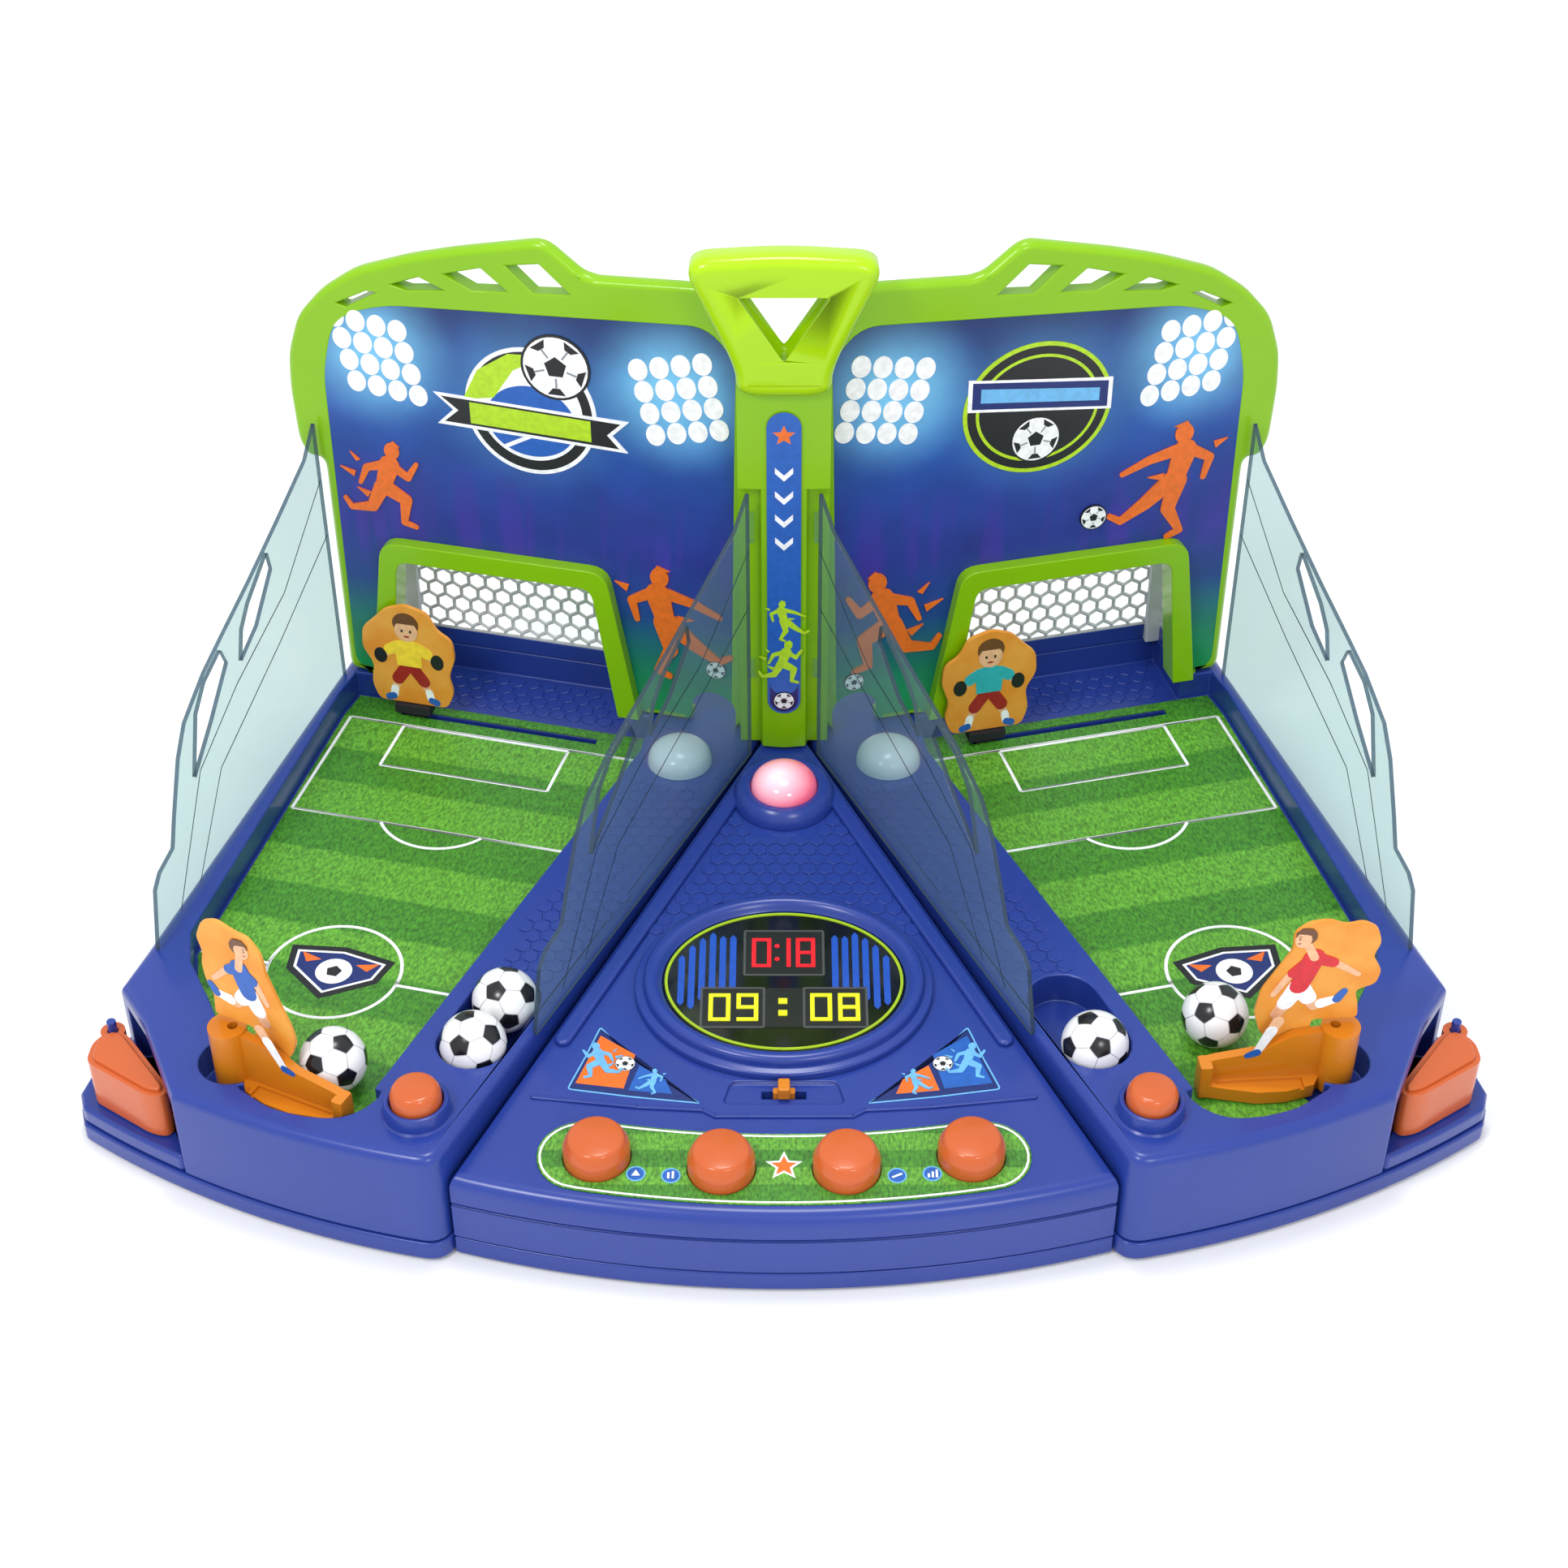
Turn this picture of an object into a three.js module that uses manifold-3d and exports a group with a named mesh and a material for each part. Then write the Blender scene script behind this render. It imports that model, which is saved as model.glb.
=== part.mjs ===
// A two-player tabletop football shooting game: two sloping lanes with goals, kickers and moving keepers,
// and a wedge-shaped console with a score display between them. Millimetres, +Z up.
// Positions below count X from the middle plane and Y from the console's front edge towards the goals;
// the group's own position moves the origin to the middle of the footprint.
// The left side is drawn and the right side mirrors it.
import * as THREE from "three";
import { mergeVertices } from "three/addons/utils/BufferGeometryUtils.js";
import Module from "manifold-3d";

// ---- Driving dimensions ----
const HALF_WIDTH = 300;
const DEPTH = 394.8;
const GAP = 0.3; // clearance between pieces that rest on each other
const WALL = 3; // moulded wall of the blue shells
const COVER_TOP = 11; // seam between the bottom covers and the shells
const FOOT_HEIGHT = 1.5;
const FOOT_R = 9;
const COVER_THICK = 2.5;
const LEDGE_TOP = 20; // step under the trigger
const DECK_TOP = 58;
const DECK_THICK = 3;
const PITCH_FLOOR = 44;
const PITCH_SHEET = 0.5;
const BALL_R = 14;
const WEDGE_APEX_Y = 318.7; // where the two wings meet behind the console
const WING_FRONT_ARC = { x: -60, y: 412, r: 405 };
const WING_INNER_X = -137;
const CONSOLE_ARC_R = 455;
const CONSOLE_FRONT_Z = 43;
const CONSOLE_SLOPE = 0.0467; // rise of the console deck per millimetre of depth
const BOARD_YAW = (-14.2 * Math.PI) / 180;
const BOARD_ORIGIN = [0, 295, 0]; // where the front of the backboards would meet
const BOARD_THICK = 8;
const BOARD_BOTTOM = DECK_TOP + GAP;
const GOAL_BACK = 36; // depth of the net behind the front of the board
const PANEL_THICK = 2.2;
const PANEL_BOTTOM = 55;
const OUTER_PANEL_FRONT = [-270, 140];
const OUTER_PANEL_BACK = [-216, 348];
const INNER_PANEL_FRONT = [-104, 91];
const INNER_PANEL_BACK = [-14, 290];
const HUB = [-226, 74]; // kicker axis
const KICKER_SHAFT_R = 4;
const KICKER_REST = (-26 * Math.PI) / 180;
const RIGHT_KICKER_TURN = (22 * Math.PI) / 180; // the right kicker stands further round
const TRIGGER_PIVOT = [-284, 106];
const KEEPER_Y = -10; // keeper line in front of the board
const KEEPER_OUTER = -184;
const KEEPER_TRAVEL = 86;
const SCREW_Z = 30;
const POST_TOP = 280;
const SCREEN_Y = 128;
const LAMP_Y = 252;
const PLAYER_LAMP = [-49, 275];
const WING_BUTTON = [-147, 44];
const CONSOLE_BUTTONS = [[-75, 32.5], [-25, 26], [25, 26], [75, 32.5]];
const BUTTON_R = 13.6;
const BUTTON_HOLE_R = 14;
const HUB_WELL_R = 14;
const POCKET_R = BALL_R + 1.2;
const SPARE_BALLS = [[-128.5, 84], [-117.5, 110.5]];

const LOOKS = {
  blue: { color: 0x4557a8, roughness: 0.35, metalness: 0 },
  green: { color: 0xa5d012, roughness: 0.35, metalness: 0 },
  lime: { color: 0xbde000, roughness: 0.32, metalness: 0 },
  orange: { color: 0xf09a2e, roughness: 0.4, metalness: 0 },
  redOrange: { color: 0xf0703f, roughness: 0.35, metalness: 0 },
  clear: { color: 0xb2dce0, roughness: 0.08, metalness: 0 },
  net: { color: 0xd9dce0, roughness: 0.5, metalness: 0 },
  grass: { color: 0x55a534, roughness: 0.8, metalness: 0 },
  card: { color: 0x1d4a9a, roughness: 0.5, metalness: 0 },
  cardOrange: { color: 0xf5a54a, roughness: 0.6, metalness: 0 },
  display: { color: 0x101014, roughness: 0.2, metalness: 0 },
  lampPink: { color: 0xf08fa8, roughness: 0.2, metalness: 0 },
  lampWhite: { color: 0xd5dde6, roughness: 0.3, metalness: 0 },
  white: { color: 0xf4f4f4, roughness: 0.35, metalness: 0 },
  board: { color: 0x1f6b3a, roughness: 0.6, metalness: 0.1 },
  dark: { color: 0x26262b, roughness: 0.6, metalness: 0 },
  steel: { color: 0xb8bcc0, roughness: 0.3, metalness: 1 },
};

const wasm = await Module();
wasm.setup();
const game = new THREE.Group();
game.position.y = -DEPTH / 2;

// ---- Helpers ----
// A closed geometry as a solid that can be joined and cut.
function solid(geometry) {
  const bare = geometry.clone();
  bare.deleteAttribute("normal");
  bare.deleteAttribute("uv");
  const merged = mergeVertices(bare, 1e-4);
  const vertProperties = new Float32Array(merged.attributes.position.array);
  const triVerts = new Uint32Array(merged.index.array);
  return new wasm.Manifold(new wasm.Mesh({ numProp: 3, vertProperties, triVerts }));
}

function geometryOf(body) {
  const mesh = body.getMesh();
  const geometry = new THREE.BufferGeometry();
  geometry.setAttribute("position", new THREE.BufferAttribute(mesh.vertProperties, 3));
  geometry.setIndex(new THREE.BufferAttribute(mesh.triVerts, 1));
  return geometry;
}

// The same solid moved by a matrix.
function moved(body, matrix) {
  return solid(geometryOf(body).applyMatrix4(matrix));
}

// The solid's mirror image across the middle plane, with its faces turned to point out again.
function mirrored(body) {
  const geometry = geometryOf(body);
  geometry.scale(-1, 1, 1);
  const index = geometry.index.array;
  for (let i = 0; i < index.length; i += 3) {
    const first = index[i];
    index[i] = index[i + 1];
    index[i + 1] = first;
  }
  return solid(geometry);
}

function add(name, body, look) {
  const geometry = geometryOf(body);
  geometry.computeVertexNormals();
  const mesh = new THREE.Mesh(geometry, new THREE.MeshStandardMaterial(LOOKS[look]));
  mesh.name = name;
  game.add(mesh);
}

function addPair(name, body, look) {
  add(name + "_left", body, look);
  add(name + "_right", mirrored(body), look);
}

function shapeOf(points) {
  return new THREE.Shape(points.map(([x, y]) => new THREE.Vector2(x, y)));
}

// A plan outline raised from one height to another.
function slab(points, low, high) {
  const geometry = new THREE.ExtrudeGeometry(shapeOf(points), { depth: high - low, bevelEnabled: false });
  return solid(geometry.translate(0, 0, low));
}

// An outline drawn on X and Z, standing between two depths in Y.
function upright(points, front, back) {
  const geometry = new THREE.ExtrudeGeometry(shapeOf(points), { depth: back - front, bevelEnabled: false });
  return solid(geometry.rotateX(Math.PI / 2).translate(0, back, 0));
}

function box(low, high) {
  const size = high.map((value, i) => value - low[i]);
  const geometry = new THREE.BoxGeometry(...size);
  return solid(geometry.translate(...low.map((value, i) => value + size[i] / 2)));
}

function cylinder(x, y, low, high, radius, top = radius, sides = 28) {
  const geometry = new THREE.CylinderGeometry(top, radius, high - low, sides);
  return solid(geometry.rotateX(Math.PI / 2).translate(x, y, (low + high) / 2));
}

// A turned piece: profile points are [radius, height], from the axis round and back to it.
function turned(profile, x, y, z, sides = 28) {
  const points = profile.map(([radius, height]) => new THREE.Vector2(radius, height));
  const geometry = new THREE.LatheGeometry(points, sides);
  return solid(geometry.rotateX(Math.PI / 2).translate(x, y, z));
}

function arc(centre, radius, from, to, steps) {
  const points = [];
  for (let i = 0; i <= steps; i++) {
    const angle = from + ((to - from) * i) / steps;
    points.push([centre[0] + radius * Math.cos(angle), centre[1] + radius * Math.sin(angle)]);
  }
  return points;
}

function ellipse(x, y, rx, ry, steps = 40) {
  return arc([0, 0], 1, 0, 2 * Math.PI, steps)
    .slice(0, -1)
    .map(([u, v]) => [x + rx * u, y + ry * v]);
}

// A rounded bar from a to b.
function stadium(a, b, radius, steps = 8) {
  const along = Math.atan2(b[1] - a[1], b[0] - a[0]);
  const quarter = Math.PI / 2;
  return [
    ...arc(b, radius, along - quarter, along + quarter, steps),
    ...arc(a, radius, along + quarter, along + 3 * quarter, steps),
  ];
}

// The outline moved inwards by a distance, corner by corner.
function inset(points, distance) {
  const area = points.reduce((sum, [x, y], i) => {
    const [u, v] = points[(i + 1) % points.length];
    return sum + x * v - u * y;
  }, 0);
  const side = Math.sign(area);
  return points.map((point, i) => {
    const before = points[(i + points.length - 1) % points.length];
    const after = points[(i + 1) % points.length];
    const a = new THREE.Vector2(point[0] - before[0], point[1] - before[1]).normalize();
    const b = new THREE.Vector2(after[0] - point[0], after[1] - point[1]).normalize();
    const reach = (side * distance) / (1 + a.dot(b));
    return [point[0] - (a.y + b.y) * reach, point[1] + (a.x + b.x) * reach];
  });
}

// Each corner of an outline replaced by a short arc-like curve that starts and ends at most `cut` away.
function rounded(points, cut, steps = 3) {
  const result = [];
  points.forEach((point, i) => {
    const here = new THREE.Vector2(...point);
    const before = new THREE.Vector2(...points[(i + points.length - 1) % points.length]);
    const after = new THREE.Vector2(...points[(i + 1) % points.length]);
    const start = here.clone().lerp(before, Math.min(cut / here.distanceTo(before), 0.45));
    const end = here.clone().lerp(after, Math.min(cut / here.distanceTo(after), 0.45));
    const curve = new THREE.QuadraticBezierCurve(start, here, end);
    curve.getPoints(steps).forEach((p) => result.push([p.x, p.y]));
  });
  return result;
}

const alongBoard = new THREE.Matrix4()
  .makeTranslation(...BOARD_ORIGIN)
  .multiply(new THREE.Matrix4().makeRotationZ(BOARD_YAW));
// A point given along the board and in front of or behind it, in plan.
function fromBoard(along, behind) {
  const point = new THREE.Vector3(along, behind, 0).applyMatrix4(alongBoard);
  return [point.x, point.y];
}

// ---- Wing outlines ----
function wingFront(fromX, toX, steps) {
  const { x, y, r } = WING_FRONT_ARC;
  const points = [];
  for (let i = 0; i <= steps; i++) {
    const px = fromX + ((toX - fromX) * i) / steps;
    points.push([px, y - Math.sqrt(r * r - (px - x) ** 2)]);
  }
  return points;
}
const sideBack = fromBoard(-225, 46);
const innerBack = fromBoard(-0.3 / Math.cos(BOARD_YAW), 46);
const wingBack = [sideBack, [-GAP / 2, innerBack[1]], [-GAP / 2, WEDGE_APEX_Y]];
const lowerOutline = [
  ...wingFront(-297, WING_INNER_X, 14),
  ...wingBack.slice().reverse(),
  [-276, 141],
  [-288, 126],
  [-297, 107],
  [-HALF_WIDTH, 93],
];
const deckOutline = [
  ...wingFront(-249, WING_INNER_X, 12),
  ...wingBack.slice().reverse(),
  [-276, 141],
  [-282.5, 119],
  [-268, 96],
];
const pitchOutline = [
  [-224, 60], [-207, 46.5], [-192, 41.5], [-178, 40.5], [-168, 46], [-161, 57],
  [-68, 284], fromBoard(-66, -1), fromBoard(-217, -1), [-216.5, 331], [-257.5, 153],
  [-254, 134], [-243, 112],
];
const goalRecess = [[-201, -2], [-75, -2], [-75, GOAL_BACK - 2], [-201, GOAL_BACK - 2]].map(
  ([along, behind]) => fromBoard(along, behind),
);

// ---- Blue shells and their bottom covers ----
const [frontBall, backBall] = SPARE_BALLS;
const pocketOutline = stadium(frontBall, backBall, POCKET_R);
function panelGroove(front, back) {
  const from = new THREE.Vector2(...front);
  const to = new THREE.Vector2(...back);
  const side = new THREE.Vector2(from.y - to.y, to.x - from.x);
  side.setLength(PANEL_THICK / 2 + GAP);
  const corners = [[from, 1], [from, -1], [to, -1], [to, 1]].map(([end, sign]) => {
    return [end.x + sign * side.x, end.y + sign * side.y];
  });
  return slab(corners, PANEL_BOTTOM - GAP, DECK_TOP + 1);
}
const SLOT_HALF = 2.2;
const SLOT_END = 7; // the slot's length past the keeper's middle at each end
const slotLow = [KEEPER_OUTER - SLOT_END, KEEPER_Y - SLOT_HALF, PITCH_FLOOR - 5];
const slotHigh = [KEEPER_OUTER + KEEPER_TRAVEL + SLOT_END, KEEPER_Y + SLOT_HALF, 50];
const keeperSlot = moved(box(slotLow, slotHigh), alongBoard);
const windowOutline = [
  [-244, 57], [-246, 80], [-268, 116], [-284, 114], [-272, 92], [-257, 64], [-252, 57],
];
const WINDOW_TOP = 49;
const PIN_R = 2;
const COLLAR_TOP = DECK_TOP + 7.5;
function wingShell() {
  const ledge = slab(lowerOutline, COVER_TOP + GAP, LEDGE_TOP);
  let shell = ledge.add(slab(deckOutline, LEDGE_TOP - 1, DECK_TOP));
  const floorUnderside = PITCH_FLOOR - 2.5;
  const pitchWell = slab(inset(pitchOutline, -WALL), floorUnderside, DECK_TOP)
    .add(slab(inset(goalRecess, -WALL), floorUnderside, DECK_TOP))
    .add(slab(stadium(frontBall, backBall, POCKET_R + WALL), floorUnderside - 1.5, DECK_TOP))
    .add(cylinder(...HUB, floorUnderside, DECK_TOP, HUB_WELL_R + WALL));
  const hollow = slab(inset(deckOutline, WALL), COVER_TOP, DECK_TOP - DECK_THICK)
    .add(slab(inset(lowerOutline, WALL), COVER_TOP, LEDGE_TOP - WALL))
    .subtract(pitchWell);
  shell = shell
    .subtract(hollow)
    .subtract(slab(pitchOutline, PITCH_FLOOR, DECK_TOP + 1))
    .subtract(slab(goalRecess, PITCH_FLOOR, DECK_TOP + 1))
    .subtract(slab(pocketOutline, PITCH_FLOOR - 1, DECK_TOP + 1))
    .subtract(cylinder(...HUB, PITCH_FLOOR, DECK_TOP + 1, HUB_WELL_R))
    .subtract(cylinder(...HUB, PITCH_FLOOR - 8, DECK_TOP, KICKER_SHAFT_R + 0.4))
    .subtract(keeperSlot)
    .subtract(panelGroove(OUTER_PANEL_FRONT, OUTER_PANEL_BACK))
    .subtract(panelGroove(INNER_PANEL_FRONT, INNER_PANEL_BACK))
    .subtract(cylinder(...PLAYER_LAMP, DECK_TOP - 6, DECK_TOP + 1, 12));
  const pivotPin = cylinder(...TRIGGER_PIVOT, LEDGE_TOP - 1, WINDOW_TOP + 1, PIN_R, PIN_R, 16);
  const collar = cylinder(...WING_BUTTON, DECK_TOP - 1, COLLAR_TOP, 14.4, 12.8);
  return shell
    .subtract(slab(windowOutline, LEDGE_TOP, WINDOW_TOP))
    .add(pivotPin)
    .add(collar)
    .subtract(cylinder(...WING_BUTTON, DECK_TOP - 6, COLLAR_TOP + 2, 11));
}
addPair("wing_shell", wingShell(), "blue");

// A shallow tray with round feet under it.
function coverTray(outline, feet) {
  const inside = slab(inset(outline, WALL), FOOT_HEIGHT + COVER_THICK, COVER_TOP + 1);
  let tray = slab(outline, FOOT_HEIGHT, COVER_TOP).subtract(inside);
  for (const [x, y] of feet) tray = tray.add(cylinder(x, y, 0, FOOT_HEIGHT + 1, FOOT_R));
  return tray;
}
const wingFeet = [[-160, 40], [-270, 100], [-203, 370], [-30, 325]];
addPair("bottom_cover", coverTray(lowerOutline, wingFeet), "blue");

// The console is a wedge: its plan outline cut to a sloping top.
const consoleSide = Math.atan2(-WING_INNER_X, WEDGE_APEX_Y - 14.4);
function consoleOutline(clearance) {
  const apexY = WEDGE_APEX_Y - clearance / Math.sin(consoleSide);
  const halfWidth = (y) => (apexY - y) * Math.tan(consoleSide);
  const radius = CONSOLE_ARC_R - Math.max(clearance - 0.4, 0);
  const front = [];
  const steps = 16;
  const reach = halfWidth(20.5);
  for (let i = 0; i <= steps; i++) {
    const x = -reach + (2 * reach * i) / steps;
    front.push([x, CONSOLE_ARC_R - Math.sqrt(radius ** 2 - x * x)]);
  }
  return [...front, [0, apexY]];
}
function underSlope(drop, low) {
  const reach = 400;
  const top = (y) => CONSOLE_FRONT_Z + CONSOLE_SLOPE * y - drop;
  const points = [[-5, low], [reach, low], [reach, top(reach)], [-5, top(-5)]];
  const settings = { depth: 2 * HALF_WIDTH, bevelEnabled: false };
  const geometry = new THREE.ExtrudeGeometry(shapeOf(points), settings);
  const swap = new THREE.Matrix4().makeBasis(
    new THREE.Vector3(0, 1, 0),
    new THREE.Vector3(0, 0, 1),
    new THREE.Vector3(1, 0, 0),
  );
  return solid(geometry.applyMatrix4(swap).translate(-HALF_WIDTH, 0, 0));
}
const onSlope = new THREE.Matrix4()
  .makeTranslation(0, 0, CONSOLE_FRONT_Z)
  .multiply(new THREE.Matrix4().makeRotationX(Math.atan(CONSOLE_SLOPE)));
// The button plate is a curved bar about the centre of the console's front arc.
const PLATE_MIDDLE_R = 430;
const PLATE_END_R = 18;
const PLATE_END_ANGLE = 0.19;
const plateCentre = [0, CONSOLE_ARC_R];
const ahead = -Math.PI / 2;
const plateEnd = [
  PLATE_MIDDLE_R * Math.sin(PLATE_END_ANGLE),
  CONSOLE_ARC_R - PLATE_MIDDLE_R * Math.cos(PLATE_END_ANGLE),
];
const buttonPlate = [
  ...arc(plateCentre, 448, ahead - 0.185, ahead + 0.185, 12),
  ...arc(plateEnd, PLATE_END_R, -1.2, 1.6, 5),
  ...arc(plateCentre, 411, ahead + 0.175, ahead - 0.175, 12),
  ...arc([-plateEnd[0], plateEnd[1]], PLATE_END_R, Math.PI - 1.6, Math.PI + 1.2, 5),
];
const SLIDER_RECESS = { low: [-25, 61, -1.6], high: [25, 73, 5] };
const SLIDER_SLOT = { low: [-9, 65, -8], high: [9, 69, 5] };
function consoleShell() {
  let shell = slab(consoleOutline(0.4), COVER_TOP + GAP, 70).intersect(underSlope(0, 0));
  const hollow = slab(consoleOutline(0.4 + WALL), COVER_TOP - 1, 70).intersect(underSlope(3.4, 0));
  shell = shell
    .subtract(hollow)
    .subtract(moved(slab(inset(buttonPlate, -GAP), -1.4, 5), onSlope))
    .subtract(moved(slab(ellipse(0, SCREEN_Y, 54, 45), -8, 8), onSlope))
    .subtract(moved(cylinder(0, LAMP_Y, -8, 8, 14), onSlope))
    .subtract(moved(box(SLIDER_RECESS.low, SLIDER_RECESS.high), onSlope))
    .subtract(moved(box(SLIDER_SLOT.low, SLIDER_SLOT.high), onSlope));
  for (const [x, y] of CONSOLE_BUTTONS) {
    shell = shell.subtract(moved(cylinder(x, y, -8, 8, BUTTON_HOLE_R), onSlope));
  }
  return shell;
}
add("console_shell", consoleShell(), "blue");

const DOOR = { low: [-42, 110], high: [42, 170] };
const DOOR_GAP = 0.5;
const consoleFeet = [[-95, 40], [95, 40], [0, 270]];
const consoleTray = coverTray(consoleOutline(0.4), consoleFeet);
const doorway = box([...DOOR.low, -1], [...DOOR.high, FOOT_HEIGHT + COVER_THICK + 2]);
add("bottom_cover_console", consoleTray.subtract(doorway), "blue");
const doorLow = DOOR.low.map((value) => value + DOOR_GAP);
const doorHigh = DOOR.high.map((value) => value - DOOR_GAP);
add("battery_door", box([...doorLow, FOOT_HEIGHT], [...doorHigh, FOOT_HEIGHT + COVER_THICK]), "blue");

// ---- Lanes: printed pitches, clear guards, post and handle ----
const sheetOutline = inset(pitchOutline, 1.2);
addPair(
  "pitch_sheet",
  slab(sheetOutline, PITCH_FLOOR + GAP, PITCH_FLOOR + GAP + PITCH_SHEET)
    .subtract(keeperSlot)
    .subtract(cylinder(...HUB, PITCH_FLOOR, DECK_TOP, HUB_WELL_R + 1.5))
    .subtract(slab(stadium(frontBall, backBall, POCKET_R + 1.2), PITCH_FLOOR, DECK_TOP)),
  "grass",
);

const guardOutline = [
  [0.5, PANEL_BOTTOM], [213, PANEL_BOTTOM], [213, 199], [199, 187],
  [165, 176], [130, 165.5], [96, 156.5], [78, 151.5], [55, 141], [45, 129], [34, 107], [28, 93.5],
  [14, 91], [8, 86],
];
const guardSlots = [
  [[152, 158], [150, 168], [126, 156], [117, 148], [112, 134.5], [131, 141]],
  [[99, 142.5], [95, 152], [77, 147], [66, 138], [56, 111], [78, 126]],
];
function guard(front, back) {
  const yaw = Math.atan2(back[1] - front[1], back[0] - front[0]);
  const place = new THREE.Matrix4()
    .makeTranslation(front[0], front[1], 0)
    .multiply(new THREE.Matrix4().makeRotationZ(yaw));
  let plate = upright(guardOutline, -PANEL_THICK / 2, PANEL_THICK / 2);
  for (const slot of guardSlots) plate = plate.subtract(upright(slot, -5, 5));
  return moved(plate, place);
}
addPair("guard_panel_outer", guard(OUTER_PANEL_FRONT, OUTER_PANEL_BACK), "clear");
addPair("guard_panel_inner", guard(INNER_PANEL_FRONT, INNER_PANEL_BACK), "clear");

const handleCorners = [
  [-40, 311.6], [-34, 300], [-8, 256], [8, 256], [34, 300], [40, 311.6], [20, 314], [0, 314.6], [-20, 314],
];
const handleOutline = rounded(handleCorners, 9, 4);
const handleOpening = rounded([[-24, 297.5], [0, 264], [24, 297.5]], 10, 4);
const HANDLE_FRONT_Y = 281;
const POST_HALF = 20.5;
const POST_FRONT_Y = 293;
const POST_BACK_Y = 298.2; // also the back of the handle
const handle = upright(handleOutline, HANDLE_FRONT_Y, POST_BACK_Y);
add("carry_handle", handle.subtract(upright(handleOpening, 270, 310)), "lime");
const POST_FOOT = DECK_TOP + GAP;
const SHOULDER = { front: 286.5, low: 201 }; // the post is full-depth from here up
const postNose = [[-11, 290], [-10, 286.5], [0, 285.2], [10, 286.5], [11, 290], [11, 294], [-11, 294]];
const post = slab(postNose, POST_FOOT, POST_TOP)
  .add(box([-POST_HALF, POST_FRONT_Y, POST_FOOT], [POST_HALF, POST_BACK_Y, POST_TOP]))
  .add(box([-POST_HALF, SHOULDER.front, SHOULDER.low], [POST_HALF, POST_FRONT_Y + 1, POST_TOP]))
  .add(box([-13, POST_BACK_Y - 0.2, POST_FOOT], [13, 308, POST_TOP]))
  .subtract(upright(inset(handleOutline, -0.4), 270, POST_BACK_Y + 0.4));
add("center_post", post, "green");

// ---- Backboards, prints, goals and nets, drawn along the board ----
const boardOutline = [
  [-221, BOARD_BOTTOM], [-18, BOARD_BOTTOM], [-18, 289.5], [-42, 289.2], [-88, 286.8], [-107, 302],
  [-148, 293], [-170, 287], [-196, 277.6], [-213, 265.6], [-226, 250.8], [-232.6, 231.5], [-234, 214],
  [-233, 186], [-229, 178], [-221, 178],
];
const printOutline = [
  [-217, BOARD_BOTTOM + 2], [-26, BOARD_BOTTOM + 2], [-22.5, 223], [-21.5, 256], [-34.5, 271],
  [-182, 262.4], [-200, 256.5], [-209.5, 248], [-215.5, 224],
];
const goalOuter = rounded([[-207, 50], [-69, 50], [-84, 140], [-195, 140]], 9);
const goalInner = rounded([[-197, 40], [-78.5, 40], [-91.5, 130], [-187.5, 130]], 6);
const crestSlots = [
  [[-124.3, 288.5], [-112.1, 276.8], [-95.5, 278.3], [-109.1, 291.1]],
  [[-153.2, 281], [-140.6, 274.8], [-124.4, 276.1], [-136, 285.9]],
  [[-178.6, 272.8], [-171, 271], [-153.8, 273.1], [-165.1, 278]],
  [[-205.7, 260.4], [-201.2, 259.2], [-186.1, 267.9], [-190.7, 268.1]],
];
const archOpening = [[-46, 50], [-24, 50], ...arc([-35, 66], 11, 0, Math.PI, 8)];
const aboveDeck = box([-240, -60, BOARD_BOTTOM], [0, 60, 330]);
function backboard() {
  let board = upright(boardOutline, 0, BOARD_THICK)
    .subtract(upright(inset(printOutline, -GAP), -1, 1.2))
    .subtract(upright(inset(printOutline, 3), 4.2, BOARD_THICK + 1))
    .subtract(upright(inset(goalOuter, -GAP), -9, 20))
    .subtract(upright(archOpening, -9, 20));
  for (const slot of crestSlots) board = board.subtract(upright(slot, -9, 20));
  return board;
}
addPair("backboard", moved(backboard(), alongBoard), "green");
const print = upright(printOutline, 0.1, 0.9)
  .subtract(upright(inset(goalOuter, -0.8), -9, 20))
  .subtract(upright(archOpening, -9, 20));
addPair("backdrop_print", moved(print, alongBoard), "card");
const goalFrame = upright(goalOuter, -6, BOARD_THICK)
  .subtract(upright(goalInner, -9, 20))
  .intersect(aboveDeck);
addPair("goal_frame", moved(goalFrame, alongBoard), "green");

const NET_WALL = 1.6;
const net = box([-203, BOARD_THICK + GAP, BOARD_BOTTOM], [-73, GOAL_BACK, 138])
  .subtract(box([-203 + NET_WALL, 0, 40], [-73 - NET_WALL, GOAL_BACK - NET_WALL, 138 - NET_WALL]));
addPair("goal_net", moved(net, alongBoard), "net");

// ---- Kickers: a turning hub with a blade, and the player card standing behind the blade ----
const HUB_R = 8;
const HUB_TOP = 77;
const BLADE_HALF = 2;
const BLADE_LENGTH = 57;
const KICKER_BASE = PITCH_FLOOR + PITCH_SHEET + 1.2;
const LIP_TOP = 52;
function kicker() {
  const profile = [
    [0, KICKER_BASE], [BLADE_LENGTH, KICKER_BASE + 1], [BLADE_LENGTH, 61], [50, 63], [33, 66], [20, 74],
    [0, HUB_TOP],
  ];
  const lip = [
    [6, -2], [BLADE_LENGTH, -2], [BLADE_LENGTH, -5], [46, -8], [34, -11], [22, -11], [10, -8],
  ];
  return cylinder(0, 0, KICKER_BASE, HUB_TOP, HUB_R)
    .add(upright(profile, -BLADE_HALF, BLADE_HALF))
    .add(slab(lip, KICKER_BASE, LIP_TOP))
    .add(cylinder(0, 0, 28, KICKER_BASE + 1, KICKER_SHAFT_R));
}
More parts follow.
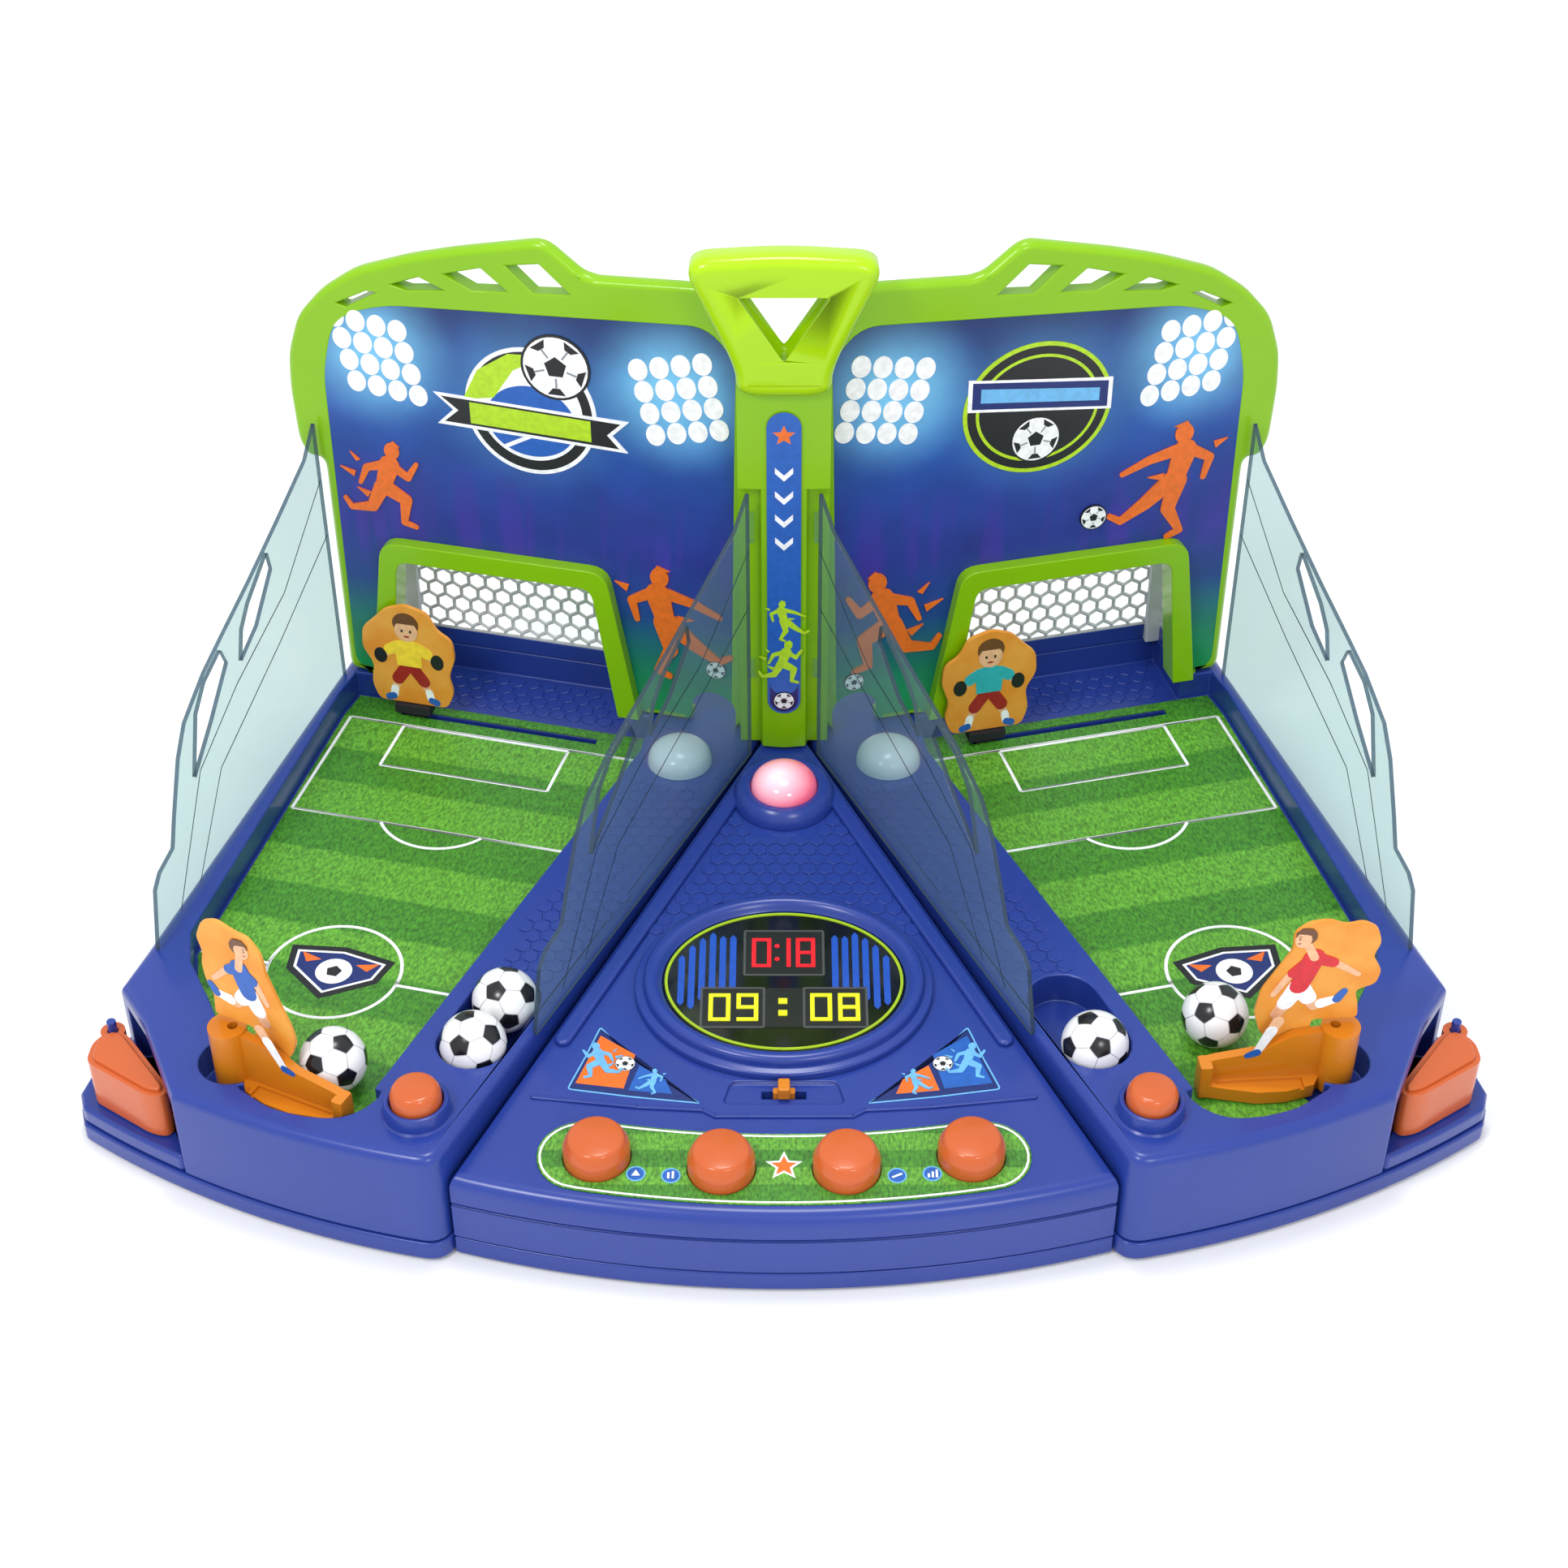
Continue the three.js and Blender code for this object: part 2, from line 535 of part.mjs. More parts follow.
const cardOutline = [
  [-7, 79], [-6, 90], [-11, 98], [-12, 106], [-9, 112], [-12, 120], [-8, 129], [0, 131.5], [8, 128],
  [16, 127], [21, 120], [22, 110], [26, 98], [31, 84], [32, 78], [28, 68], [12, 68], [12, 79],
];
const CARD_FRONT = BLADE_HALF + GAP;
const CARD_THICK = 1.8;
const card = upright(cardOutline, CARD_FRONT, CARD_FRONT + CARD_THICK)
  .subtract(cylinder(0, 0, 40, HUB_TOP + 1, HUB_R + GAP));
function atHub(body, turn) {
  const place = new THREE.Matrix4()
    .makeTranslation(...HUB, 0)
    .multiply(new THREE.Matrix4().makeRotationZ(KICKER_REST + turn));
  return moved(body, place);
}
add("kicker_left", atHub(kicker(), 0), "orange");
add("kicker_right", mirrored(atHub(kicker(), RIGHT_KICKER_TURN)), "orange");
add("kicker_player_left", atHub(card, 0), "cardOrange");
add("kicker_player_right", mirrored(atHub(card, RIGHT_KICKER_TURN)), "cardOrange");

// ---- Triggers on the outer corners ----
const paddle = [
  [-291, 99], [-291.5, 87], [-264, 68], [-256.5, 66], [-253.5, 71], [-277, 103], [-284, 107],
];
const PADDLE_TOP = 44;
const PIN_HOLE_R = PIN_R + 0.4;
function trigger() {
  return slab(rounded(paddle, 3, 2), LEDGE_TOP + 1, PADDLE_TOP)
    .add(slab(rounded(inset(paddle, 1.5), 2.5, 2), PADDLE_TOP - 1, PADDLE_TOP + 2))
    .add(cylinder(...TRIGGER_PIVOT, LEDGE_TOP + 1, PADDLE_TOP, 5.2))
    .subtract(cylinder(...TRIGGER_PIVOT, LEDGE_TOP, WINDOW_TOP + 1, PIN_HOLE_R, PIN_HOLE_R, 16));
}
addPair("trigger", trigger(), "redOrange");

// ---- Keepers on their carriages, drive screws and motors, drawn along the board ----
const keeperOutline = [
  [-17, 51.8], [17, 51.8], [21, 60], [19, 68], [23, 78], [22, 87], [15, 91], [11, 99], [0, 102], [-10, 99],
  [-16, 93], [-22, 88], [-23, 78], [-18, 70], [-20, 60],
];
const CARRIAGE_HALF = 12;
const SCREW_R = 3;
// A rod along X at the drive screw's height.
function rodAlong(length, radius) {
  const geometry = new THREE.CylinderGeometry(radius, radius, length, 20);
  return solid(geometry.rotateZ(Math.PI / 2).translate(0, 0, SCREW_Z));
}
function carriage() {
  return box([-CARRIAGE_HALF, -7, SCREW_Z - 7], [CARRIAGE_HALF, 7, PITCH_FLOOR - 3.5])
    .add(box([-5, -SLOT_HALF + 0.4, PITCH_FLOOR - 4], [5, SLOT_HALF - 0.4, 49]))
    .add(box([-9, -3.5, 47], [9, 3.5, 51.5]))
    .subtract(rodAlong(3 * CARRIAGE_HALF, SCREW_R + 0.5));
}
function onKeeperLine(body, along) {
  const place = new THREE.Matrix4().makeTranslation(along, KEEPER_Y, 0);
  return moved(body, place.premultiply(alongBoard));
}
const keeper = upright(keeperOutline, -1, 1);
const leftRest = KEEPER_OUTER;
const rightRest = KEEPER_OUTER + KEEPER_TRAVEL;
add("keeper_carriage_left", onKeeperLine(carriage(), leftRest), "dark");
add("keeper_carriage_right", mirrored(onKeeperLine(carriage(), rightRest)), "dark");
add("keeper_left", onKeeperLine(keeper, leftRest), "cardOrange");
add("keeper_right", mirrored(onKeeperLine(keeper, rightRest)), "cardOrange");
addPair("keeper_drive_screw", onKeeperLine(rodAlong(124, SCREW_R), -140), "steel");
const motor = box([-77, -11, FOOT_HEIGHT + 3], [-47, 13, 41]);
addPair("keeper_motor", onKeeperLine(motor, 0), "dark");

// ---- Console controls, display and lamps ----
function onDeck(body) {
  return moved(body, onSlope);
}
let plate = slab(buttonPlate, -1.1, 0.3);
for (const [x, y] of CONSOLE_BUTTONS) plate = plate.subtract(cylinder(x, y, -5, 5, BUTTON_HOLE_R));
add("button_plate", onDeck(plate), "grass");
const buttonProfile = [[0, -9], [BUTTON_R, -9], [BUTTON_R, 7], [11, 12], [0, 12.6]];
const BUTTON_NAMES = ["power", "mode", "sound", "level"];
CONSOLE_BUTTONS.forEach(([x, y], i) => {
  add(BUTTON_NAMES[i] + "_button", onDeck(turned(buttonProfile, x, y, 0)), "redOrange");
});
const wingButtonProfile = [[0, -9], [8, -9], [8, -5], [10.4, -5], [10.4, 11], [8.8, 14], [0, 14.6]];
addPair("wing_button", turned(wingButtonProfile, ...WING_BUTTON, DECK_TOP), "redOrange");

const bezel = slab(ellipse(0, SCREEN_Y, 64, 54.5), GAP, 5)
  .add(slab(ellipse(0, SCREEN_Y, 59, 49.5), 4, 8))
  .subtract(slab(ellipse(0, SCREEN_Y, 52.4, 42.6), -1, 10));
add("display_bezel", onDeck(bezel), "blue");
add("score_display", onDeck(slab(ellipse(0, SCREEN_Y, 52, 42.2), -4, 4)), "display");
const knob = box([-4.5, 65.4, -7], [4.5, 68.6, 1]).add(box([-2.5, 63.5, -1], [2.5, 70.5, 5]));
add("power_slider", onDeck(knob), "orange");
const ringProfile = [[15.6, 0.3], [24, 0.3], [20, 8], [15.6, 8], [15.6, 0.3]];
add("lamp_ring", onDeck(turned(ringProfile, 0, LAMP_Y, 0)), "blue");
const domeProfile = [
  [0, -5], [13.4, -5], [13.4, 0], [15.2, 0.5], [15.2, 8], [13.6, 12], [9.5, 15], [5, 16.6], [0, 17],
];
add("lamp_dome", onDeck(turned(domeProfile, 0, LAMP_Y, 0)), "lampPink");
const whiteDome = [[0, -4], [11.4, -4], [11.4, 0.3], [15.2, 0.3], [14, 5.5], [10.5, 9], [6, 11], [0, 11.6]];
addPair("player_lamp", turned(whiteDome, ...PLAYER_LAMP, DECK_TOP), "lampWhite");

// ---- Electronics inside the console ----
add("circuit_board", box([-46, 78, 22], [46, 104, 23.6]), "board");
const speakerProfile = [[0, 5], [8, 5], [8, 12], [20, 17], [20, 19], [0, 19]];
add("speaker", turned(speakerProfile, 0, 205, 0), "dark");
add("battery_box", box([-40, 112, FOOT_HEIGHT + 4], [40, 168, 24]), "dark");

// ---- Balls ----
function ball(x, y, bottom) {
  const geometry = new THREE.SphereGeometry(BALL_R, 18, 12).rotateX(Math.PI / 2);
  return solid(geometry.translate(x, y, bottom + BALL_R));
}
const ALONG_BLADE = 38;
const BEHIND_BLADE = BLADE_HALF + BALL_R + 0.8;
const ballX = HUB[0] + ALONG_BLADE * Math.cos(KICKER_REST) - BEHIND_BLADE * Math.sin(KICKER_REST);
const ballY = HUB[1] + ALONG_BLADE * Math.sin(KICKER_REST) + BEHIND_BLADE * Math.cos(KICKER_REST);
const onPitch = PITCH_FLOOR + PITCH_SHEET + 2 * GAP;
add("kick_ball_left", ball(ballX, ballY, onPitch), "white");
add("kick_ball_right", ball(180, 99.5, onPitch), "white");
const inPocket = PITCH_FLOOR - 1 + GAP;
add("spare_ball_left_front", ball(...frontBall, inPocket), "white");
add("spare_ball_left_back", ball(...backBall, inPocket), "white");
add("spare_ball_right", ball(-frontBall[0], frontBall[1], inPocket), "white");

export default game;
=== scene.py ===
import math

import bmesh
import bpy
from mathutils import Matrix, Vector


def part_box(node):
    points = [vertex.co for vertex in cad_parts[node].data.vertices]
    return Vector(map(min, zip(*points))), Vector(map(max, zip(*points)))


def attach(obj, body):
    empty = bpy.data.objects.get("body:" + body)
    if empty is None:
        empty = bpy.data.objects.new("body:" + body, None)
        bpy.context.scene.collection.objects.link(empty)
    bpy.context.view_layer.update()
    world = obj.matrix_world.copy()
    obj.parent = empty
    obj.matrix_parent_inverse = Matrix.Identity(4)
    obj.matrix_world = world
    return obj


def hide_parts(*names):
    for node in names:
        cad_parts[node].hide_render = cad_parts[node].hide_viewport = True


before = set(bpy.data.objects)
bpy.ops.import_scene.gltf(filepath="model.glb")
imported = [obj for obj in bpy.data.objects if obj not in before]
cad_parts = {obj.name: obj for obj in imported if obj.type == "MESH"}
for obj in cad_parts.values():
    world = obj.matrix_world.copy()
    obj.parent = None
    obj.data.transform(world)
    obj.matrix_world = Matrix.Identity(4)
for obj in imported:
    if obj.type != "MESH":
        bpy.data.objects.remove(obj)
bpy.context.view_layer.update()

# ---- Studio: camera, pale table and soft light ----
# The game stands on a plain pale table, seen from a seated player's height in front of the console.
# Lengths here and below are millimetres, with Y counted from the console's front edge.
MM = 0.001
CAMERA_BACK, CAMERA_HEIGHT, CAMERA_PITCH = 695.5, 802.5, 38
FOCAL_LENGTH = 59.6
front_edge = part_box("console_shell")[0][1]
layout = Matrix.Translation((0, front_edge, 0)) @ Matrix.Scale(MM, 4)
scene = bpy.context.scene
scene.view_settings.view_transform = "Standard"


def srgb(code, alpha=1.0):
    """A hex colour such as #4A5CAA as linear RGBA."""
    parts = [int(code[i:i + 2], 16) / 255 for i in (1, 3, 5)]
    return [p / 12.92 if p <= 0.04045 else ((p + 0.055) / 1.055) ** 2.4 for p in parts] + [alpha]


def add_node(material, kind, inputs=None, **settings):
    """Adds a shader node: inputs holds socket values or the outputs that feed them."""
    made = material.node_tree.nodes.new("ShaderNode" + kind)
    for key, value in settings.items():
        setattr(made, key, value)
    for socket, value in (inputs or {}).items():
        if isinstance(value, bpy.types.NodeSocket):
            material.node_tree.links.new(value, made.inputs[socket])
        else:
            made.inputs[socket].default_value = value
    return made


def start_material(name):
    """An empty node material and its Principled surface."""
    material = bpy.data.materials.new(name)
    material.use_nodes = True
    surface = material.node_tree.nodes["Principled BSDF"]
    return material, surface


camera_data = bpy.data.cameras.new("camera")
camera_data.lens = FOCAL_LENGTH
camera = bpy.data.objects.new("camera", camera_data)
camera.location = layout @ Vector((0, -CAMERA_BACK, CAMERA_HEIGHT))
camera.rotation_euler = (math.radians(90 - CAMERA_PITCH), 0, 0)
scene.collection.objects.link(camera)
scene.camera = camera

table_mesh = bpy.data.meshes.new("table")
table_mesh.from_pydata([(-4, -4, 0), (4, -4, 0), (4, 4, 0), (-4, 4, 0)], [], [(0, 1, 2, 3)])
table = bpy.data.objects.new("table", table_mesh)
scene.collection.objects.link(table)
table_paint, surface = start_material("table_matt_white_lacquer")
grain = add_node(table_paint, "TexNoise", {"Scale": 40.0, "Detail": 4.0})
tone = add_node(table_paint, "ValToRGB", {"Fac": grain.outputs["Fac"]})
tone.color_ramp.elements[0].color = srgb("#F4F4F2")
tone.color_ramp.elements[1].color = srgb("#FAFAF9")
table_paint.node_tree.links.new(tone.outputs["Color"], surface.inputs["Base Color"])
surface.inputs["Roughness"].default_value = 0.7
table_mesh.materials.append(table_paint)

world = bpy.data.worlds.new("studio")
world.use_nodes = True
world.node_tree.nodes["Background"].inputs["Color"].default_value = srgb("#F7F9FF")
world.node_tree.nodes["Background"].inputs["Strength"].default_value = 1.0
scene.world = world
for lamp_name, place, size, power in (
    ("key_softbox", (-0.7, -0.9, 1.5), 0.3, 9),
    ("front_softbox", (0.6, -1.5, 1.3), 0.35, 6),
    ("top_strip", (0.0, 0.1, 1.6), 0.35, 7),
):
    light = bpy.data.lights.new(lamp_name, "AREA")
    light.size = size
    light.energy = power
    softbox = bpy.data.objects.new(lamp_name, light)
    softbox.location = place
    softbox.rotation_euler = (-Vector(place)).to_track_quat("-Z", "Y").to_euler()
    scene.collection.objects.link(softbox)

# ---- Bottom covers ----
# Three shallow trays of moulded ABS close the shells from below and carry the round feet.
# They are screwed on from underneath, and their lip shows as the lowest band all round.
COVER_TOP = 11
FOOT_HEIGHT = 1.5
FOOT_R = 9
COVER_GAP = 0.4
SHELL_BOTTOM = COVER_TOP + 0.3
WING_INNER_X = -137
WEDGE_APEX_Y = 318.7
BOARD_YAW = math.radians(-14.2)
BOARD_ORIGIN_Y = 295
CONSOLE_RADIUS = 455


def circle_points(x, y, radius, start, end, steps):
    """Points on a circle between two angles in degrees."""
    angles = [math.radians(start + (end - start) * i / steps) for i in range(steps + 1)]
    return [(x + radius * math.cos(a), y + radius * math.sin(a)) for a in angles]


def oval(x, y, rx, ry, steps=64):
    """A closed ellipse."""
    return [(x + rx * u, y + ry * v) for u, v in circle_points(0, 0, 1, 0, 360, steps)[:-1]]


def eased(start, corner, end, steps=5):
    """A short curve from start to end in place of a corner."""
    start, corner, end = Vector(start), Vector(corner), Vector(end)
    return [tuple(start * (1 - t) ** 2 + corner * 2 * t * (1 - t) + end * t * t)
            for t in (k / steps for k in range(steps + 1))]


def rounded(points, cut, steps=5):
    """The outline with each corner turned into a short curve."""
    result = []
    for i, point in enumerate(points):
        here, before, after = Vector(point), Vector(points[i - 1]), Vector(points[(i + 1) % len(points)])
        start = here.lerp(before, min(cut / (here - before).length, 0.45))
        end = here.lerp(after, min(cut / (here - after).length, 0.45))
        result += eased(start, here, end, steps)
    return result


def inset(points, distance):
    """The outline moved inwards by a distance, corner by corner."""
    area = sum(points[i - 1][0] * p[1] - p[0] * points[i - 1][1] for i, p in enumerate(points))
    side = math.copysign(distance, area)
    result = []
    for i, point in enumerate(points):
        a = (Vector(point) - Vector(points[i - 1])).normalized()
        b = (Vector(points[(i + 1) % len(points)]) - Vector(point)).normalized()
        reach = side / max(1 + a.dot(b), 0.3)
        result.append((point[0] - (a.y + b.y) * reach, point[1] + (a.x + b.x) * reach))
    return result


def stacked(levels):
    """A closed body through outlines of equal count, each given with its height or a height function."""
    points = []
    for outline, height in levels:
        level = height if callable(height) else lambda x, y: height
        points += [(x, y, level(x, y)) for x, y in outline]
    outline = levels[0][0]
    count = len(outline)
    area = sum(outline[i - 1][0] * p[1] - p[0] * outline[i - 1][1] for i, p in enumerate(outline))
    ring = list(range(count)) if area > 0 else list(range(count))[::-1]
    faces = [ring[::-1], [i + count * (len(levels) - 1) for i in ring]]
    for start in range(0, count * (len(levels) - 1), count):
        faces += [(start + a, start + b, start + b + count, start + a + count)
                  for a, b in zip(ring, ring[1:] + ring[:1])]
    mesh = bpy.data.meshes.new("part")
    mesh.from_pydata(points, [], faces)
    return mesh


def prism(outline, low, high):
    """A plan outline raised between two heights; high may be a function of x and y."""
    return stacked([(outline, low), (outline, high)])


def rimmed(shrunk, low, top, radius, steps=6):
    """A body whose top edge is rounded: shrunk(d) is its outline moved in by d."""
    levels = [(shrunk(0), low)]
    for k in range(steps + 1):
        a = math.radians(90 * k / steps)
        drop = radius * (1 - math.sin(a))
        height = (lambda x, y, d=drop: top(x, y) - d) if callable(top) else top - drop
        levels.append((shrunk(radius * (1 - math.cos(a))), height))
    return stacked(levels)


def combined(mesh, operation, *others):
    """The mesh joined with, cut by or kept within the others."""
    holders = [bpy.data.objects.new("holder", m) for m in (mesh, *others)]
    for holder in holders:
        scene.collection.objects.link(holder)
    for other in holders[1:]:
        step = holders[0].modifiers.new("step", "BOOLEAN")
        step.operation = operation
        step.solver = "EXACT"
        step.use_self = True
        step.object = other
    graph = bpy.context.evaluated_depsgraph_get()
    result = bpy.data.meshes.new_from_object(holders[0].evaluated_get(graph))
    for holder in holders:
        bpy.data.objects.remove(holder)
    return result


def make_piece(name, mesh, where, materials, body, slot, *nodes):
    """Puts a mesh drawn in millimetres where it belongs and ties it to the frame."""
    matrix = layout @ where
    mesh.transform(matrix)
    if matrix.determinant() < 0:
        mesh.flip_normals()
    for material in materials:
        mesh.materials.append(material)
    mesh.shade_smooth()
    mesh.set_sharp_from_angle(angle=math.radians(35))
    piece = bpy.data.objects.new(name, mesh)
    scene.collection.objects.link(piece)
    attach(piece, body)
    if nodes:
        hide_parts(*nodes)
    return piece


def soften(piece, width, steps=3, angle=32, wide=None, wide_width=0, skip=None, clamp=True):
    """Rounds sharp edges as a mould does; wide picks edges for the larger radius, skip leaves edges sharp."""
    bevel = piece.modifiers.new("moulded_edge", "BEVEL")
    bevel.segments = steps
    bevel.harden_normals = True
    bevel.use_clamp_overlap = clamp and wide is None
    bevel.width = width * MM
    bevel.angle_limit = math.radians(angle)
    if wide is None and skip is None:
        return
    largest = max(width, wide_width)
    bevel.limit_method = "WEIGHT"
    bevel.width = largest * MM
    mesh = bmesh.new()
    mesh.from_mesh(piece.data)
    weight = mesh.edges.layers.float.new("bevel_weight_edge")
    back = layout.inverted()
    for edge in mesh.edges:
        if len(edge.link_faces) == 2 and edge.calc_face_angle(0) > math.radians(angle):
            ends = [back @ v.co for v in edge.verts]
            chosen = wide_width if wide and wide(*ends) else 0 if skip and skip(*ends) else width
            edge[weight] = chosen / largest
    mesh.to_mesh(piece.data)
    mesh.free()


def moulded_plastic(name, colour, roughness, ior, mottle=0.03, peel_mm=1.2, coat=0.3, coat_roughness=0.12):
    """Injection-moulded plastic: even colour with a faint flow mottle and a fine satin orange peel."""
    material, surface = start_material(name)
    position = add_node(material, "TexCoord").outputs["Object"]
    flow = add_node(material, "TexNoise", {"Vector": position, "Scale": 1 / (60 * MM), "Detail": 3.0})
    tone = add_node(material, "ValToRGB", {"Fac": flow.outputs["Fac"]})
    base = srgb(colour)
    tone.color_ramp.elements[0].position = 0.3
    tone.color_ramp.elements[1].position = 0.7
    tone.color_ramp.elements[0].color = [c * (1 - mottle) for c in base[:3]] + [1]
    tone.color_ramp.elements[1].color = [min(1, c * (1 + mottle)) for c in base[:3]] + [1]
    gloss = add_node(material, "MapRange", {"Value": flow.outputs["Fac"], "To Min": roughness - 0.04,
                                            "To Max": roughness + 0.05})
    peel = add_node(material, "TexNoise", {"Vector": position, "Scale": 1 / (peel_mm * MM), "Detail": 2.0})
    bump = add_node(material, "Bump",
                    {"Height": peel.outputs["Fac"], "Strength": 0.06, "Distance": 0.05 * MM})
    links = material.node_tree.links
    links.new(tone.outputs["Color"], surface.inputs["Base Color"])
    links.new(gloss.outputs["Result"], surface.inputs["Roughness"])
    links.new(bump.outputs["Normal"], surface.inputs["Normal"])
    surface.inputs["IOR"].default_value = ior
    surface.inputs["Specular IOR Level"].default_value = 0.25
    surface.inputs["Coat Weight"].default_value = coat
    surface.inputs["Coat Roughness"].default_value = coat_roughness
    return material


def from_board(along, behind):
    """A plan point given along the left board and behind its front face."""
    x = along * math.cos(BOARD_YAW) - behind * math.sin(BOARD_YAW)
    return x, BOARD_ORIGIN_Y + along * math.sin(BOARD_YAW) + behind * math.cos(BOARD_YAW)


def wing_front(from_x, to_x, steps):
    """The wing's long front curve."""
    xs = [from_x + (to_x - from_x) * i / steps for i in range(steps + 1)]
    return [(x, 412 - math.sqrt(405 ** 2 - (x + 60) ** 2)) for x in xs]


# ABS from a polished tool: a deep blue with a soft satin gloss.
blue_abs = moulded_plastic("abs_blue_moulded", "#233A8E", 0.27, 1.55, coat=0.35, coat_roughness=0.24)
SIDES = {"left": Matrix.Identity(4), "right": Matrix.Diagonal((-1, 1, 1, 1))}
wing_back = [(-0.2, WEDGE_APEX_Y), (-0.2, from_board(0, 46)[1]), from_board(-225, 46)]
side_corner = [(-276, 141), (-288, 126), (-297, 107), (-300, 93)]
inner_corner = wing_front(WING_INNER_X, WING_INNER_X, 1)[0]
seam_start = Vector(inner_corner).lerp(Vector(wing_back[0]),
                                       9 / (Vector(wing_back[0]) - Vector(inner_corner)).length)
corner_curve = eased(wing_front(-146, -146, 1)[0], inner_corner, seam_start)
wing_outline = wing_front(-297, -148, 38) + corner_curve + wing_back + side_corner
console_half_angle = math.atan2(-WING_INNER_X, WEDGE_APEX_Y - 14.4)


def console_outline(clearance, steps=40, back=0):
    """The wedge between the wings, with its curved front moved back by a distance."""
    apex = WEDGE_APEX_Y - clearance / math.sin(console_half_angle)
    reach = (apex - 20.5 - back) * math.tan(console_half_angle)
    xs = [-reach + 2 * reach * i / steps for i in range(steps + 1)]
    edge = [(x, CONSOLE_RADIUS + back - math.sqrt(CONSOLE_RADIUS ** 2 - x * x)) for x in xs]
    return edge + [(0, apex)]


for side, mirror in SIDES.items():
    cover = make_piece(f"bottom_cover_{side}_tray",
                       prism(wing_outline, FOOT_HEIGHT, COVER_TOP - COVER_GAP), mirror,
                       [blue_abs], "base", "blue_abs", f"bottom_cover_{side}")
    soften(cover, 1.2)
    for number, (x, y) in enumerate([(-160, 40), (-270, 100), (-203, 370), (-30, 325)]):
        foot = make_piece(f"foot_{side}_{number}",
                          prism(oval(x, y, FOOT_R, FOOT_R, 32), 0, FOOT_HEIGHT + 0.5), mirror,
                          [blue_abs], "base", "blue_abs")
        soften(foot, 0.5, 2)
DOOR = [(-42, 110), (42, 110), (42, 170), (-42, 170)]
console_tray = combined(prism(console_outline(0.4), FOOT_HEIGHT, COVER_TOP - COVER_GAP), "DIFFERENCE",
                        prism(DOOR, -1, 6))
cover = make_piece("bottom_cover_console_tray", console_tray, SIDES["left"], [blue_abs], "base", "blue_abs",
                   "bottom_cover_console")
soften(cover, 1.0)
for number, (x, y) in enumerate([(-95, 40), (95, 40), (0, 270)]):
    foot = make_piece(f"foot_console_{number}",
                      prism(oval(x, y, FOOT_R, FOOT_R, 32), 0, FOOT_HEIGHT + 0.5), SIDES["left"],
                      [blue_abs], "base", "blue_abs")
    soften(foot, 0.5, 2)

# ---- Inner works: battery box and door, circuit board, speaker, motors, drive screws, carriages ----
# Bought-in parts screwed inside the shells. They keep the frame's shapes with rounded edges.
# Carriages and boxes are black polypropylene, the screws turned steel, the board green solder mask.
# Polypropylene, matt black.
black_plastic = moulded_plastic("polypropylene_black_moulded", "#26262B", 0.5, 1.49, coat=0.0)
# Turned steel, with fine tool marks in its shine.
steel, surface = start_material("steel_turned")
position = add_node(steel, "TexCoord").outputs["Object"]
turning_marks = add_node(steel, "TexNoise", {"Vector": position, "Scale": 1 / (0.8 * MM), "Detail": 2.0})
shine = add_node(steel, "MapRange", {"Value": turning_marks.outputs["Fac"], "To Min": 0.2, "To Max": 0.4})
steel.node_tree.links.new(shine.outputs["Result"], surface.inputs["Roughness"])
surface.inputs["Base Color"].default_value = srgb("#C4C6C8")
surface.inputs["Metallic"].default_value = 1.0
# Green solder mask over fibreglass.
solder_mask = moulded_plastic("solder_mask_green", "#1F6B3A", 0.35, 1.55, mottle=0.15)
INNER = {"battery_box": black_plastic, "speaker": black_plastic, "circuit_board": solder_mask,
         "battery_door": blue_abs}
for side in SIDES:
    INNER[f"keeper_motor_{side}"] = black_plastic
    INNER[f"keeper_carriage_{side}"] = black_plastic
    INNER[f"keeper_drive_screw_{side}"] = steel
for name, material in INNER.items():
    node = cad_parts[name]
    node.data.materials.clear()
    node.data.materials.append(material)
    edge = node.modifiers.new("moulded_edge", "BEVEL")
    edge.width = 0.3 * MM
    edge.angle_limit = math.radians(50)

# ---- Wing shells ----
# Each lane's shell is one ABS moulding: a deck with a sunken pitch, pockets for spare balls, a well for
# the kicker, a window for the trigger and a raised collar for the serve button.
DECK_TOP = 58
DECK_RIM = 4.6
PITCH_FLOOR = 44
LEDGE_TOP = 20
BALL_R = 14
HUB = (-226, 74)
SPARE_BALLS = [(-128.5, 84), (-117.5, 110.5)]
WING_BUTTON = (-147, 44)
PLAYER_LAMP = (-49, 275)
TRIGGER_PIVOT = (-284, 106)
KEEPER_LINE = -10


def bar(start, end, radius, steps=10):
    """A flat bar with round ends."""
    turn = math.degrees(math.atan2(end[1] - start[1], end[0] - start[0]))
    return (circle_points(*end, radius, turn - 90, turn + 90, steps)
            + circle_points(*start, radius, turn + 90, turn + 270, steps))


def strip(start, end, width):
    """A flat bar with square ends."""
    a, b = Vector(start), Vector(end)
    out = (b - a).normalized().orthogonal() * width / 2
    return [tuple(a + out), tuple(a - out), tuple(b - out), tuple(b + out)]


pitch_well = rounded([(-224, 60), (-207, 46.5), (-192, 41.5), (-178, 40.5), (-168, 46), (-161, 57)], 5, 2)
pitch_well += [(-68, 284), from_board(-66, -1), from_board(-217, -1), (-216.5, 331), (-257.5, 153),
               (-254, 134), (-243, 112)]
GOAL_CORNERS = [from_board(*p) for p in ((-75, -1), (-75, 34), (-201, 34), (-201, -1))]
lane_hole = pitch_well[:-5] + GOAL_CORNERS + pitch_well[-5:]
deck_outline = inset(wing_front(-249, -148, 34) + corner_curve + wing_back
                     + [(-276, 141), (-282.5, 119), (-268, 96)], 0.9)
ledge_outline = inset(wing_front(-297, -249, 12) + [(-238, 70), (-262, 128)] + side_corner, 0.9)
window = [(-244, 57.5), (-246, 80), (-268, 116), (-284, 114), (-272, 92), (-257, 64), (-252, 57.5)]
